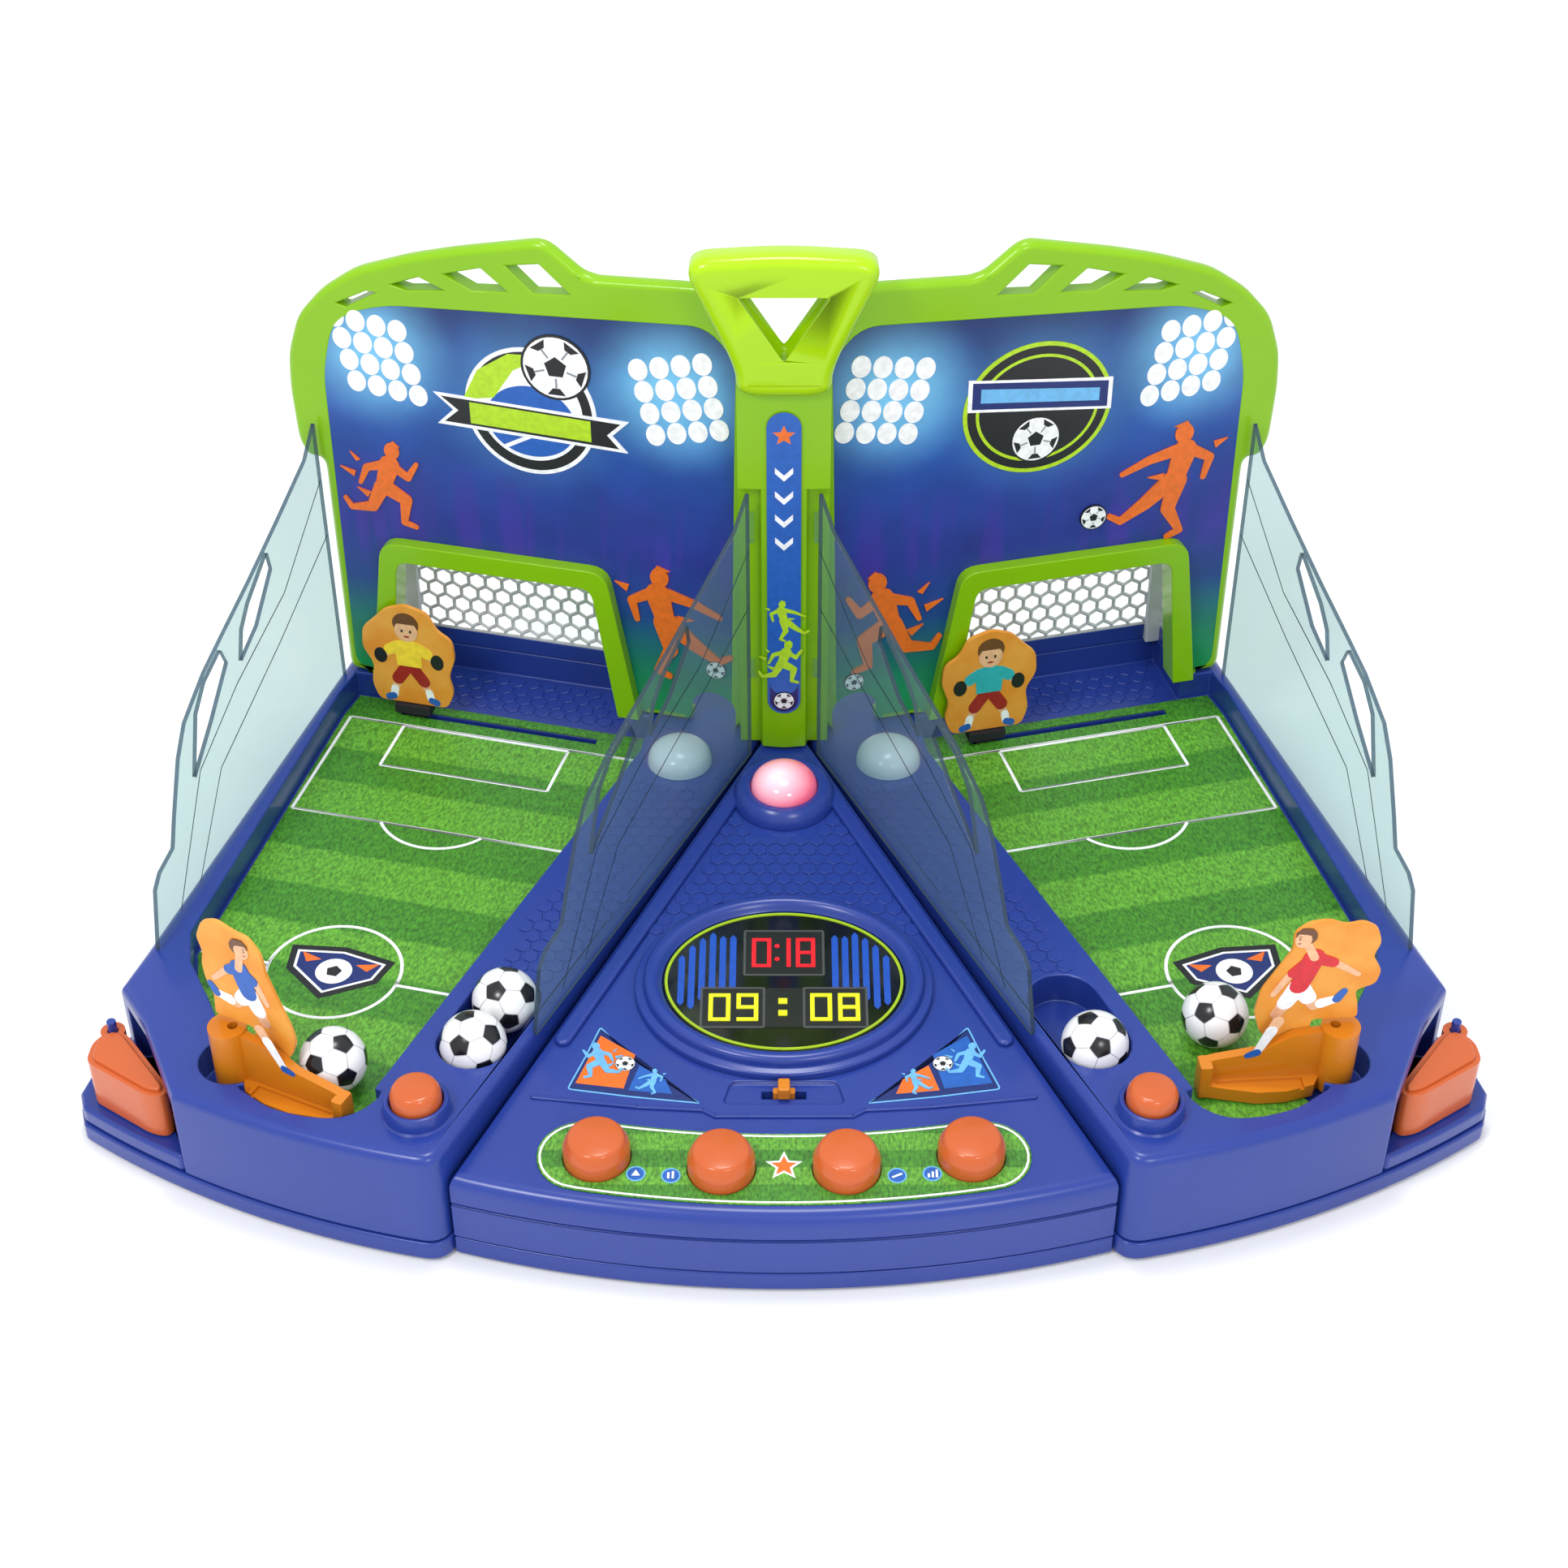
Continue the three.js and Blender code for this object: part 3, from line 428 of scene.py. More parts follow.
keeper_gap = [(-191, -12.2), (-91, -12.2), (-91, -7.8), (-191, -7.8)]
deck = rimmed(lambda d: inset(deck_outline, d), SHELL_BOTTOM, DECK_TOP, DECK_RIM)
deck = combined(deck, "DIFFERENCE",
                prism(lane_hole, PITCH_FLOOR, DECK_TOP + 5),
                prism(bar(*SPARE_BALLS, BALL_R + 1.2), PITCH_FLOOR - 1, DECK_TOP + 5),
                prism(oval(*HUB, 14, 14, 40), PITCH_FLOOR - 0.5, DECK_TOP + 5),
                prism(window, LEDGE_TOP, 49),
                prism([from_board(*p) for p in keeper_gap], 10, 50),
                prism(circle_points(-60, 412, 410, -118, -98, 40)
                      + circle_points(-60, 412, 404.3, -98, -118, 40), 33.5, 34.5))
ledge = prism(ledge_outline, SHELL_BOTTOM, LEDGE_TOP)


for side, mirror in SIDES.items():
    shell = make_piece(f"wing_{side}_deck", deck.copy(), mirror, [blue_abs], "base", "blue_abs",
                       f"wing_shell_{side}")
    soften(shell, 0.8, 4, clamp=False)
    step = make_piece(f"wing_{side}_ledge", ledge.copy(), mirror, [blue_abs], "base", "blue_abs")
    soften(step, 2.0, 4)
    pin = make_piece(f"wing_{side}_trigger_pin", prism(oval(*TRIGGER_PIVOT, 2, 2, 24), LEDGE_TOP - 1, 49.5),
                     mirror, [blue_abs], "base", "blue_abs")
    soften(pin, 0.4, 2)

# ---- Console shell ----
# The wedge between the lanes is one sloping ABS moulding with rails, a field of small raised scales and
# recesses for the plate, screen, slide switch and lamp. It is moulded in the same blue as the wings.
CONSOLE_FRONT_Z = 43
CONSOLE_SLOPE = 0.0467
CONSOLE_RIM = 5.6
SCALE_PITCH = 7.5
SCREEN_Y = 128
LAMP_Y = 252
PLATE_RADIUS, PLATE_END_ANGLE = 430, 0.19
CONSOLE_BUTTONS = [(-75, 32.5), (-25, 26), (25, 26), (75, 32.5)]
on_slope = Matrix.Translation((0, 0, CONSOLE_FRONT_Z)) @ Matrix.Rotation(math.atan(CONSOLE_SLOPE), 4, "X")
plate_end = (PLATE_RADIUS * math.sin(PLATE_END_ANGLE),
             CONSOLE_RADIUS - PLATE_RADIUS * math.cos(PLATE_END_ANGLE))
plate_outline = (circle_points(0, CONSOLE_RADIUS, 448, -90 - 10.6, -90 + 10.6, 24)
                 + circle_points(*plate_end, 18, -68, 92, 14)
                 + circle_points(0, CONSOLE_RADIUS, 411, -90 + 10, -90 - 10, 24)
                 + circle_points(-plate_end[0], plate_end[1], 18, 88, 248, 14))


def slope_top(x, y):
    """Height of the console's deck."""
    return CONSOLE_FRONT_Z + CONSOLE_SLOPE * y


def moved(mesh, matrix):
    """The mesh moved by a matrix."""
    mesh.transform(matrix)
    return mesh


def joined(meshes):
    """Several meshes held in one."""
    whole = bmesh.new()
    for mesh in meshes:
        whole.from_mesh(mesh)
    result = bpy.data.meshes.new("part")
    whole.to_mesh(result)
    whole.free()
    return result


def wedge_half(y):
    """Half the console's width at a depth."""
    return (WEDGE_APEX_Y - y) * math.tan(console_half_angle)


RECESSES = [
    prism(inset(plate_outline, -0.3), -1.4, 5),
    prism(oval(0, SCREEN_Y, 54, 44), -8, 8),
    prism(oval(0, LAMP_Y, 14, 14), -8, 8),
    prism(rounded([(-25, 61), (25, 61), (22, 73), (-22, 73)], 3), -1.6, 5),
    prism([(-9, 65), (9, 65), (9, 69), (-9, 69)], -8, 5),
]
RECESSES += [prism(oval(x, y, 14, 14), -8, 8) for x, y in CONSOLE_BUTTONS]
wedge = rimmed(lambda d: console_outline(0.4 + d * 0.3, 48, d), SHELL_BOTTOM, slope_top, CONSOLE_RIM)
bead = (circle_points(0, CONSOLE_RADIUS, 460, -112, -68, 60)
        + circle_points(0, CONSOLE_RADIUS, 454.3, -68, -112, 60))
wedge = combined(wedge, "DIFFERENCE", prism(bead, 29.4, 30.4), *[moved(cut, on_slope) for cut in RECESSES])


def under_covers(a, b):
    """True for the edges of the two holes that the surround and the lamp ring hide."""
    by_screen = (a.x / 55) ** 2 + ((a.y - SCREEN_Y) / 45.5) ** 2 < 1
    return by_screen or math.hypot(a.x, a.y - LAMP_Y) < 15.5


shell = make_piece("console_wedge", wedge, SIDES["left"], [blue_abs], "base", "blue_abs", "console_shell")
soften(shell, 0.8, 4, skip=under_covers, clamp=False)
for side, mirror in SIDES.items():
    ends = [(-wedge_half(y) + 7 / math.cos(console_half_angle), y) for y in (96, 262)]
    rail = make_piece(f"console_rail_{side}", prism(bar(*ends, 3.6), -0.5, 2.6), mirror @ on_slope,
                      [blue_abs], "base", "blue_abs")
    soften(rail, 2.2, 4)
ridge_path = [(-103, 64), (-60, 58.6), (-33, 56.8), (-28, 53.5), (28, 53.5), (33, 56.8), (60, 58.6),
              (103, 64)]
ridge = combined(joined([prism(bar(a, b, 1.0, 6), -0.4, 1.1) for a, b in zip(ridge_path, ridge_path[1:])]),
                 "UNION")
ridge = make_piece("console_ridge", ridge, on_slope, [blue_abs], "base", "blue_abs")
soften(ridge, 0.5, 3)


def scale_field(name, where, inside, pitch, spread_x, spread_y):
    """A field of small raised hexagons wherever inside(x, y) allows."""
    cells = []
    for row in range(int(spread_y[0] / pitch), int(spread_y[1] / pitch) + 1):
        for column in range(int(spread_x[0] / pitch), int(spread_x[1] / pitch) + 1):
            x = (column + 0.5 * (row % 2)) * pitch
            y = row * pitch * 0.87
            if inside(x, y):
                cells.append(prism(circle_points(x, y, pitch * 0.5, 30, 330, 5), -0.3, 0.55))
    field = make_piece(name, joined(cells), where, [blue_abs], "base", "blue_abs")
    soften(field, 0.5, 2)


def on_wedge_field(x, y):
    """Inside the rails, clear of the screen surround and the lamp."""
    past_screen = (x / 69) ** 2 + ((y - SCREEN_Y) / 59) ** 2 > 1
    past_lamp = math.hypot(x, y - LAMP_Y) > 27
    return past_screen and past_lamp and 140 < y < 238 and abs(x) < wedge_half(y) - 13


scale_field("console_scales", on_slope, on_wedge_field, SCALE_PITCH, (-90, 90), (140, 290))


def on_wing_band(x, y):
    """Between the lane and the inner guard, clear of the ball pocket and the side lamp."""
    lane_edge = -161 + (y - 57) * 93 / 227
    guard_line = -104 + (y - 91) * 90 / 199
    past_pocket = min(math.hypot(x - u, y - v) for u, v in SPARE_BALLS) > BALL_R + 6
    past_lamp = math.hypot(x - PLAYER_LAMP[0], y - PLAYER_LAMP[1]) > 20
    return lane_edge + 7 < x < guard_line - 5 and 120 < y < 272 and past_pocket and past_lamp


for side, mirror in SIDES.items():
    scale_field(f"wing_{side}_scales", mirror @ Matrix.Translation((0, 0, DECK_TOP)), on_wing_band,
                SCALE_PITCH, (-160, 0), (110, 320))

# ---- Pitches ----
# Each lane's floor is a printed, laminated card laid into the shell: mown stripes of two greens under
# white court lines. The grass blades are print, so the surface stays flat and only slightly shiny.
SHEET_LOW, SHEET_TOP = 44.3, 44.8
INK_THICK = 0.06
INK_COLOURS = {
    "white": "#FAFAFA", "black": "#17181C", "grey": "#8E9298", "lime": "#B4DC1E", "orange": "#F0701C",
    "soft_orange": "#F8A24A", "blue": "#1F5FB8", "sky": "#6FB8EA", "navy": "#14286E", "skin": "#F0B98C",
    "brown": "#6E4424", "red": "#D8202C", "yellow": "#FFDA3C", "teal": "#2FB3B8", "dark_red": "#A3161E",
    "dark_outline": "#5A3A1E",
}


def printed_card(name, low, high, roughness, spot_mm, alpha=1.0):
    """A printed surface whose colour wanders between two near tones."""
    material, surface = start_material(name)
    position = add_node(material, "TexCoord").outputs["Object"]
    spots = add_node(material, "TexNoise", {"Vector": position, "Scale": 1 / (spot_mm * MM), "Detail": 4.0})
    tone = add_node(material, "ValToRGB", {"Fac": spots.outputs["Fac"]})
    tone.color_ramp.elements[0].position = 0.35
    tone.color_ramp.elements[1].position = 0.65
    tone.color_ramp.elements[0].color = srgb(low)
    tone.color_ramp.elements[1].color = srgb(high)
    material.node_tree.links.new(tone.outputs["Color"], surface.inputs["Base Color"])
    surface.inputs["Roughness"].default_value = roughness
    surface.inputs["Alpha"].default_value = alpha
    return material


def shade(code, factor):
    """A hex colour made darker."""
    return "#" + "".join(f"{int(int(code[i:i + 2], 16) * factor):02X}" for i in (1, 3, 5))


# Offset ink on laminated card, with the faint unevenness of print.
INKS = {key: printed_card(f"ink_{key}_on_card", shade(code, 0.93), code, 0.32, 3.0)
        for key, code in INK_COLOURS.items()}


def printed(name, where, layers, body, slot, inks=INKS, rise=0.012):
    """Flat printed shapes given as (ink, outline), each a hair above the one before."""
    used = list(dict.fromkeys(key for key, _ in layers))
    parts = []
    for level, (key, outline) in enumerate(layers):
        part = prism(outline, 0, INK_THICK + rise * level)
        part.polygons.foreach_set("material_index", [used.index(key)] * len(part.polygons))
        parts.append(part)
    return make_piece(name, joined(parts), where, [inks[key] for key in used], body, slot)


def grass_card(name, yaw, stripe_mm):
    """Printed turf: stripes across the lane and short light and dark blades of grass."""
    material, surface = start_material(name)
    position = add_node(material, "TexCoord").outputs["Object"]
    turned_in = add_node(material, "Mapping",
                         {"Vector": position, "Rotation": (0, 0, -yaw)}).outputs["Vector"]
    across = add_node(material, "SeparateXYZ", {"Vector": turned_in}).outputs["Y"]
    wave = add_node(material, "Math", {0: across, 1: math.pi / (stripe_mm * MM)}, operation="MULTIPLY")
    wave = add_node(material, "Math", {0: wave.outputs["Value"]}, operation="SINE")
    edge = add_node(material, "MapRange",
                    {"Value": wave.outputs["Value"], "From Min": -0.12, "From Max": 0.12})
    mown = add_node(material, "MixRGB", {"Fac": edge.outputs["Result"], "Color1": srgb("#3D7920"),
                                         "Color2": srgb("#59922E")})
    stretched = add_node(material, "Mapping",
                         {"Vector": turned_in, "Scale": (1.0, 0.45, 1.0)}).outputs["Vector"]
    blades = add_node(material, "TexNoise", {"Vector": stretched, "Scale": 1 / (1.1 * MM), "Detail": 5.0})
    depth = add_node(material, "ValToRGB", {"Fac": blades.outputs["Fac"]})
    depth.color_ramp.elements[0].position = 0.3
    depth.color_ramp.elements[0].color = srgb("#5C7C48")
    depth.color_ramp.elements[1].position = 0.72
    depth.color_ramp.elements[1].color = srgb("#F6FFE0")
    turf = add_node(material, "MixRGB", {"Fac": 0.75, "Color1": mown.outputs["Color"],
                                         "Color2": depth.outputs["Color"]}, blend_type="OVERLAY")
    material.node_tree.links.new(turf.outputs["Color"], surface.inputs["Base Color"])
    surface.inputs["Roughness"].default_value = 0.45
    return material


def ring(x, y, radius, width, start=0, end=360, steps=64):
    """A flat band along part of a circle."""
    return (circle_points(x, y, radius + width / 2, start, end, steps)
            + circle_points(x, y, radius - width / 2, end, start, steps))


board_turn = Matrix.Translation((0, BOARD_ORIGIN_Y, 0)) @ Matrix.Rotation(BOARD_YAW, 4, "Z")
to_board = board_turn.inverted()
court = [tuple((to_board @ Vector((x, y, 0))).xy) for x, y in inset(pitch_well, 1.2)]
LINE = 1.5


def frame_lines(low, high, thick=LINE):
    """The four sides of a rectangle as strips."""
    corners = [low, (high[0], low[1]), high, (low[0], high[1])]
    return [strip(a, b, thick) for a, b in zip(corners, corners[1:] + corners[:1])]


court_lines = frame_lines((-214, -94), (-60, -20)) + frame_lines((-186, -53), (-102, -21))
court_lines += [ring(-152, -196, 29.5, LINE), ring(-145, -77, 30, LINE, 215, 325),
                strip((-122.5, -198), (-70, -198), LINE), strip((-181.5, -198), (-215, -198), LINE)]
shield = [(-176, -184), (-152, -180), (-128, -184), (-131, -199), (-152, -214), (-173, -199)]
sheet = prism(court, SHEET_LOW, SHEET_TOP)
pocket = [tuple((to_board @ Vector((x, y, 0))).xy) for x, y in bar(*SPARE_BALLS, BALL_R + 2.4)]
hub_spot = tuple((to_board @ Vector((*HUB, 0))).xy)
sheet = combined(sheet, "DIFFERENCE", prism(keeper_gap, 40, 50), prism(pocket, 40, 50),
                 prism(oval(*hub_spot, 15.5, 15.5), 40, 50))
field = prism(inset(court, 0.5), 40, 50)
lines = combined(joined([prism(line, SHEET_TOP - 0.2, SHEET_TOP + 0.1 + 0.01 * i)
                         for i, line in enumerate(court_lines)]), "INTERSECT", field)
for side, mirror in SIDES.items():
    yaw = BOARD_YAW if side == "left" else -BOARD_YAW
    # Offset-printed and laminated card: darker and lighter mown stripes, fine grass blades.
    turf = grass_card(f"card_turf_print_{side}", yaw, 25)
    make_piece(f"pitch_card_{side}", sheet.copy(), mirror @ board_turn, [turf], "base", "grass_print",
               f"pitch_sheet_{side}")
    make_piece(f"pitch_lines_{side}", lines.copy(), mirror @ board_turn, [INKS["white"]], "base",
               "grass_print")
    raised = mirror @ board_turn @ Matrix.Translation((0, 0, SHEET_TOP))
    printed(f"pitch_badge_{side}", raised, [
        ("lime", inset(shield, -1.6)), ("black", shield), ("white", inset(shield, 3)),
        ("navy", inset(shield, 4.2)), ("white", oval(-152, -196, 8, 8)),
        ("black", circle_points(-152, -196, 3.6, 18, 306, 4)),
        ("orange", [(-170, -187), (-160, -190), (-166, -193)]),
        ("orange", [(-134, -187), (-144, -190), (-138, -193)]),
    ], "base", "grass_print")

# ---- Backboards and printed backdrops ----
# Two tall green ABS boards stand behind the goals, each with a laminated card print pressed into its
# front: a night stadium with floodlights, an emblem and player silhouettes.
BOARD_THICK = 8
BOARD_BOTTOM = 58.3
standing = Matrix.Rotation(math.pi / 2, 4, "X")
board_outline = rounded([
    (-221, BOARD_BOTTOM), (-18, BOARD_BOTTOM), (-18, 289.5), (-42, 289.2), (-88, 286.8), (-107, 302),
    (-148, 293),
    (-170, 287), (-196, 277.6), (-213, 265.6), (-226, 250.8), (-232.6, 231.5), (-234, 214), (-233, 186),
    (-229, 178), (-221, 178),
], 6, 4)
print_outline = [
    (-217, BOARD_BOTTOM + 2), (-26, BOARD_BOTTOM + 2), (-22.5, 223), (-21.5, 256), (-34.5, 271),
    (-182, 262.4), (-200, 256.5), (-209.5, 248), (-215.5, 224),
]
goal_outer = rounded([(-207, 50), (-69, 50), (-84, 140), (-195, 140)], 9)
goal_inner = rounded([(-197, 40), (-78.5, 40), (-91.5, 130), (-187.5, 130)], 6)
CREST_SLOTS = [
    [(-124.3, 288.5), (-112.1, 276.8), (-95.5, 278.3), (-109.1, 291.1)],
    [(-153.2, 281), (-140.6, 274.8), (-124.4, 276.1), (-136, 285.9)],
    [(-178.6, 272.8), (-171, 271), (-153.8, 273.1), (-165.1, 278)],
    [(-205.7, 260.4), (-201.2, 259.2), (-186.1, 267.9), (-190.7, 268.1)],
]
arch = [(-46, 50), (-24, 50)] + circle_points(-35, 66, 11, 0, 180, 16)
# ABS from a polished tool, a warm leaf green with a satin gloss.
green_abs = moulded_plastic("abs_lime_green_moulded", "#82B800", 0.28, 1.53)


def upright(outline, front, back):
    """An outline drawn on X and Z, standing between two depths."""
    return moved(prism(outline, -back, -front), standing)


def backdrop_card(name, sign):
    """The stadium print: night sky, floodlight glow, dim purple stands and a green-blue foot."""
    material, surface = start_material(name)
    position = add_node(material, "TexCoord").outputs["Object"]
    height = add_node(material, "SeparateXYZ", {"Vector": position}).outputs["Z"]
    level = add_node(material, "MapRange", {"Value": height, "From Min": 55 * MM, "From Max": 270 * MM})
    sky = add_node(material, "ValToRGB", {"Fac": level.outputs["Result"]})
    stops = [(0.0, "#1E9C4A"), (0.14, "#0F7F5E"), (0.28, "#123F86"), (0.44, "#24308C"), (0.6, "#1B3E94"),
             (0.74, "#134E9C"), (0.88, "#0D3E84"), (1.0, "#08265E")]
    ramp = sky.color_ramp
    for place, code in stops[1:-1]:
        ramp.elements.new(place)
    for element, (place, code) in zip(ramp.elements, stops):
        element.position = place
        element.color = srgb(code)
    colour = sky.outputs["Color"]
    stretched = add_node(material, "Mapping",
                         {"Vector": position, "Scale": (1.0, 1.0, 0.08)}).outputs["Vector"]
    streaks = add_node(material, "TexNoise", {"Vector": stretched, "Scale": 1 / (9 * MM), "Detail": 2.0})
    band = add_node(material, "ValToRGB", {"Fac": level.outputs["Result"]})
    band.color_ramp.elements[0].position = 0.3
    band.color_ramp.elements[1].position = 0.42
    band.color_ramp.elements[1].color = (1, 1, 1, 1)
    fade = band.color_ramp.elements.new(0.62)
    fade.color = (0, 0, 0, 1)
    dim = add_node(material, "MapRange",
                   {"Value": streaks.outputs["Fac"], "From Min": 0.45, "From Max": 0.6})
    stands = add_node(material, "Math", {0: dim.outputs["Result"], 1: band.outputs["Color"]},
                      operation="MULTIPLY")
    colour = add_node(material, "MixRGB", {"Fac": stands.outputs["Value"], "Color1": colour,
                                           "Color2": srgb("#3A2E98")}).outputs["Color"]
    for along, z, reach, power in ((-190, 238, 44, 0.85), (-50, 236, 46, 0.85), (-119, 222, 54, 0.3)):
        x, y = from_board(along, 0)
        centre = layout @ Vector((x * sign, y, z))
        offset = add_node(material, "VectorMath", {0: position, 1: tuple(centre)}, operation="DISTANCE")
        glow = add_node(material, "MapRange", {"Value": offset.outputs["Value"], "From Min": 0.0,
                                               "From Max": reach * MM, "To Min": power, "To Max": 0.0},
                        interpolation_type="SMOOTHSTEP")
        colour = add_node(material, "MixRGB", {"Fac": glow.outputs["Result"], "Color1": colour,
                                               "Color2": srgb("#7CCBF2")}).outputs["Color"]
    haze = add_node(material, "TexNoise", {"Vector": position, "Scale": 1 / (25 * MM), "Detail": 3.0})
    colour = add_node(material, "MixRGB", {"Fac": 0.35, "Color1": colour, "Color2": haze.outputs["Fac"]},
                      blend_type="OVERLAY").outputs["Color"]
    material.node_tree.links.new(colour, surface.inputs["Base Color"])
    surface.inputs["Roughness"].default_value = 0.35
    return material


def limb(*joints, radius=2.2):
    """Tapered stretches between joints, each given as x, z and perhaps its own radius."""
    spots = [(*joint, radius)[:3] for joint in joints]
    outlines = []
    for a, b in zip(spots, spots[1:]):
        turn = math.degrees(math.atan2(b[1] - a[1], b[0] - a[0]))
        outlines.append(circle_points(*b, turn - 90, turn + 90, 6)
                        + circle_points(*a, turn + 90, turn + 270, 6))
    return outlines


def place_all(outlines, x, z, size=1.0, flip=1):
    """Outlines moved to a place, scaled and perhaps flipped."""
    return [[(x + u * size * flip, z + v * size) for u, v in outline] for outline in outlines]


def ball_print(x, z, radius):
    """A small printed football."""
    layers = [("black", oval(x, z, radius * 1.08, radius * 1.08, 32)),
              ("white", oval(x, z, radius, radius, 32)),
              ("black", circle_points(x, z, radius * 0.36, 18, 306, 4))]
    for k in range(5):
        a = math.radians(54 + 72 * k)
        far = [(x + radius * r * math.cos(a + d), z + radius * r * math.sin(a + d))
               for r, d in ((0.95, -0.3), (0.7, -0.16), (0.7, 0.16), (0.95, 0.3))]
        layers += [("black", far),
                   ("grey", strip((x + radius * 0.36 * math.cos(a), z + radius * 0.36 * math.sin(a)),
                                                  (x + radius * 0.7 * math.cos(a),
                                                   z + radius * 0.7 * math.sin(a)), radius * 0.06))]
    return layers


RUNNER = [oval(4, 47, 3.9, 4.5, 20), [(0.5, 49), (5, 52.5), (8.2, 49.5), (4, 50), (1, 45)],
          *limb((3, 42, 2.2), (2, 39, 5.2), (-2, 27, 4.0)),
          *limb((3, 39, 2.6), (11, 33, 1.9), (16, 41, 1.2)),
          *limb((0, 39, 2.6), (-10, 36, 1.9), (-14, 27, 1.1)),
          *limb((-1, 26, 4.2), (9, 20, 3.2), (7, 7, 1.7), (13, 5, 1.2)),
          *limb((-3, 26, 4.0), (-9, 14, 2.9), (-20, 12, 1.5), (-23, 17, 1.1)),
          [(-13, 40), (-18, 44), (-15, 39)], [(-16, 33), (-24, 35), (-17, 30)],
          [(-9, 22), (-16, 24), (-11, 19)]]
SHOOTER = [oval(-2, 47.5, 3.9, 4.5, 20), [(-6, 48), (-3, 53), (2.4, 51), (-1.5, 50.4), (-5, 45)],
           *limb((-2, 43, 2.2), (-3, 39.5, 5.2), (0, 27, 4.0)),
           *limb((-5, 40, 2.6), (-14, 35, 1.9), (-12, 26, 1.2)),
           *limb((1, 40, 2.6), (12, 37, 1.9), (23, 32, 1.1)),
           *limb((-1, 26, 4.2), (2, 13, 3.0), (-4, 2, 1.6), (1, -0.5, 1.3)),
           *limb((2, 26, 4.2), (12, 17, 3.1), (22, 10, 1.6), (27, 13, 1.2)),
           [(-15, 42), (-21, 43), (-16, 39)], [(5, 30), (12, 29), (6, 27)]]


def floodlight(x, z, columns, rows, lean):
    """A bank of oval lamps."""
    return [("white", oval(x + c * 9.8 + r * 2.4, z - r * 10.6 + c * lean, 4.5, 5.4, 20))
            for c in range(columns) for r in range(rows)]


emblem = [("white", oval(-117, 218, 31, 32)), ("black", oval(-117, 218, 29, 30)),
          ("white", oval(-117, 218, 24.5, 25)),
          ("blue", oval(-117, 213, 21, 18)), ("white", strip((-131, 198), (-104, 213), 2)),
          ("lime", [(-149, 220), (-141, 236), (-126, 246), (-108, 247), (-124, 238), (-134, 223)]),
          ("white", [(-163, 222), (-71, 219), (-79, 211), (-72, 203), (-162, 206), (-154, 214)]),
          ("black",
           [(-159.5, 220.5), (-75, 217.4), (-81.5, 211), (-76, 204.6), (-158.5, 207.6), (-151.5, 214)]),
          ("lime", [(-146, 219), (-89, 217), (-89, 206.4), (-146, 208.2)])]
emblem += ball_print(-104, 242, 15)
badge = [("lime", oval(-117, 220, 35, 33)), ("black", oval(-117, 220, 33, 31)),
         ("lime", oval(-117, 220, 29, 27)), ("black", oval(-117, 220, 27.5, 25.5)),
         ("white", [(-152, 215), (-84, 222), (-84, 238), (-152, 231)]),
         ("navy", [(-150, 216.5), (-86, 223.2), (-86, 236.5), (-150, 229.6)]),
         ("sky", [(-146, 220), (-90, 226), (-90, 233), (-146, 226.5)])]
badge += ball_print(-117, 204, 11)
BACKDROPS = {
    "left": floodlight(-207, 254, 4, 4, -1.2) + floodlight(-66, 246, 4, 4, 2.2) + emblem
    + [("orange", o) for o in place_all(RUNNER, -190, 143, 0.95) + place_all(SHOOTER, -57, 84, 1.15)]
    + ball_print(-33, 91, 4.5),
    "right": floodlight(-207, 254, 4, 4, -1.2) + floodlight(-64, 247, 4, 4, 1.6) + badge
    + [("orange", o) for o in place_all(SHOOTER, -187, 142, 1.15) + place_all(RUNNER, -49, 84, 1.15)]
    + ball_print(-148, 158, 6) + ball_print(-34, 84, 4.5),
}
panel = combined(prism(board_outline, -BOARD_THICK, 0), "DIFFERENCE",
                 prism(inset(rounded(print_outline, 9, 5), -0.3), -1.2, 3),
                 prism(inset(goal_outer, -0.3), -20, 9),
                 prism(arch, -20, 9), prism(inset(print_outline, 3), -20, -4.2),
                 *[prism(slot, -20, 9) for slot in CREST_SLOTS])
backdrop = combined(prism(rounded(print_outline, 9, 5), -0.9, -0.1), "DIFFERENCE",
                    prism(inset(goal_outer, -0.8), -20, 9), prism(arch, -20, 9))


def on_board_rim(a, b):
    """True for the board's outer edge, front and back."""
    here, there = to_rim @ a, to_rim @ b
    middle = ((here + there) / 2).xy
    return abs(here.z - there.z) < 0.5 and any(
        abs((middle - Vector(p)).length + (middle - Vector(q)).length
            - (Vector(p) - Vector(q)).length) < 0.05
        for p, q in zip(board_outline, board_outline[1:] + board_outline[:1]))


for side, mirror in SIDES.items():
    face = mirror @ board_turn @ standing
    to_rim = face.inverted()
    board = make_piece(f"backboard_{side}_panel", panel.copy(), face, [green_abs], "base", "green_abs",
                       f"backboard_{side}")
    soften(board, 0.8, 4, wide=on_board_rim, wide_width=3.4)
    # Laminated card with an offset print of a stadium at night.
    stadium = backdrop_card(f"card_stadium_print_{side}", 1 if side == "left" else -1)
    make_piece(f"backdrop_{side}_card", backdrop.copy(), face, [stadium], "base", "backdrop_print",
               f"backdrop_print_{side}")
    printed(f"backdrop_{side}_shapes", face @ Matrix.Translation((0, 0, -0.1)), BACKDROPS[side], "base",
            "backdrop_print")

# ---- Goals: frames and nets ----
# Each goal is a green ABS arch clipped into its board. Behind it hangs a moulded polypropylene net with
# open hexagons, a grey corner post and a low dark blue wall that turns the ball back.
GOAL_BACK = 36
NET_LEFT, NET_RIGHT, NET_TOP, NET_WALL_TOP = -203, -73, 138, 67


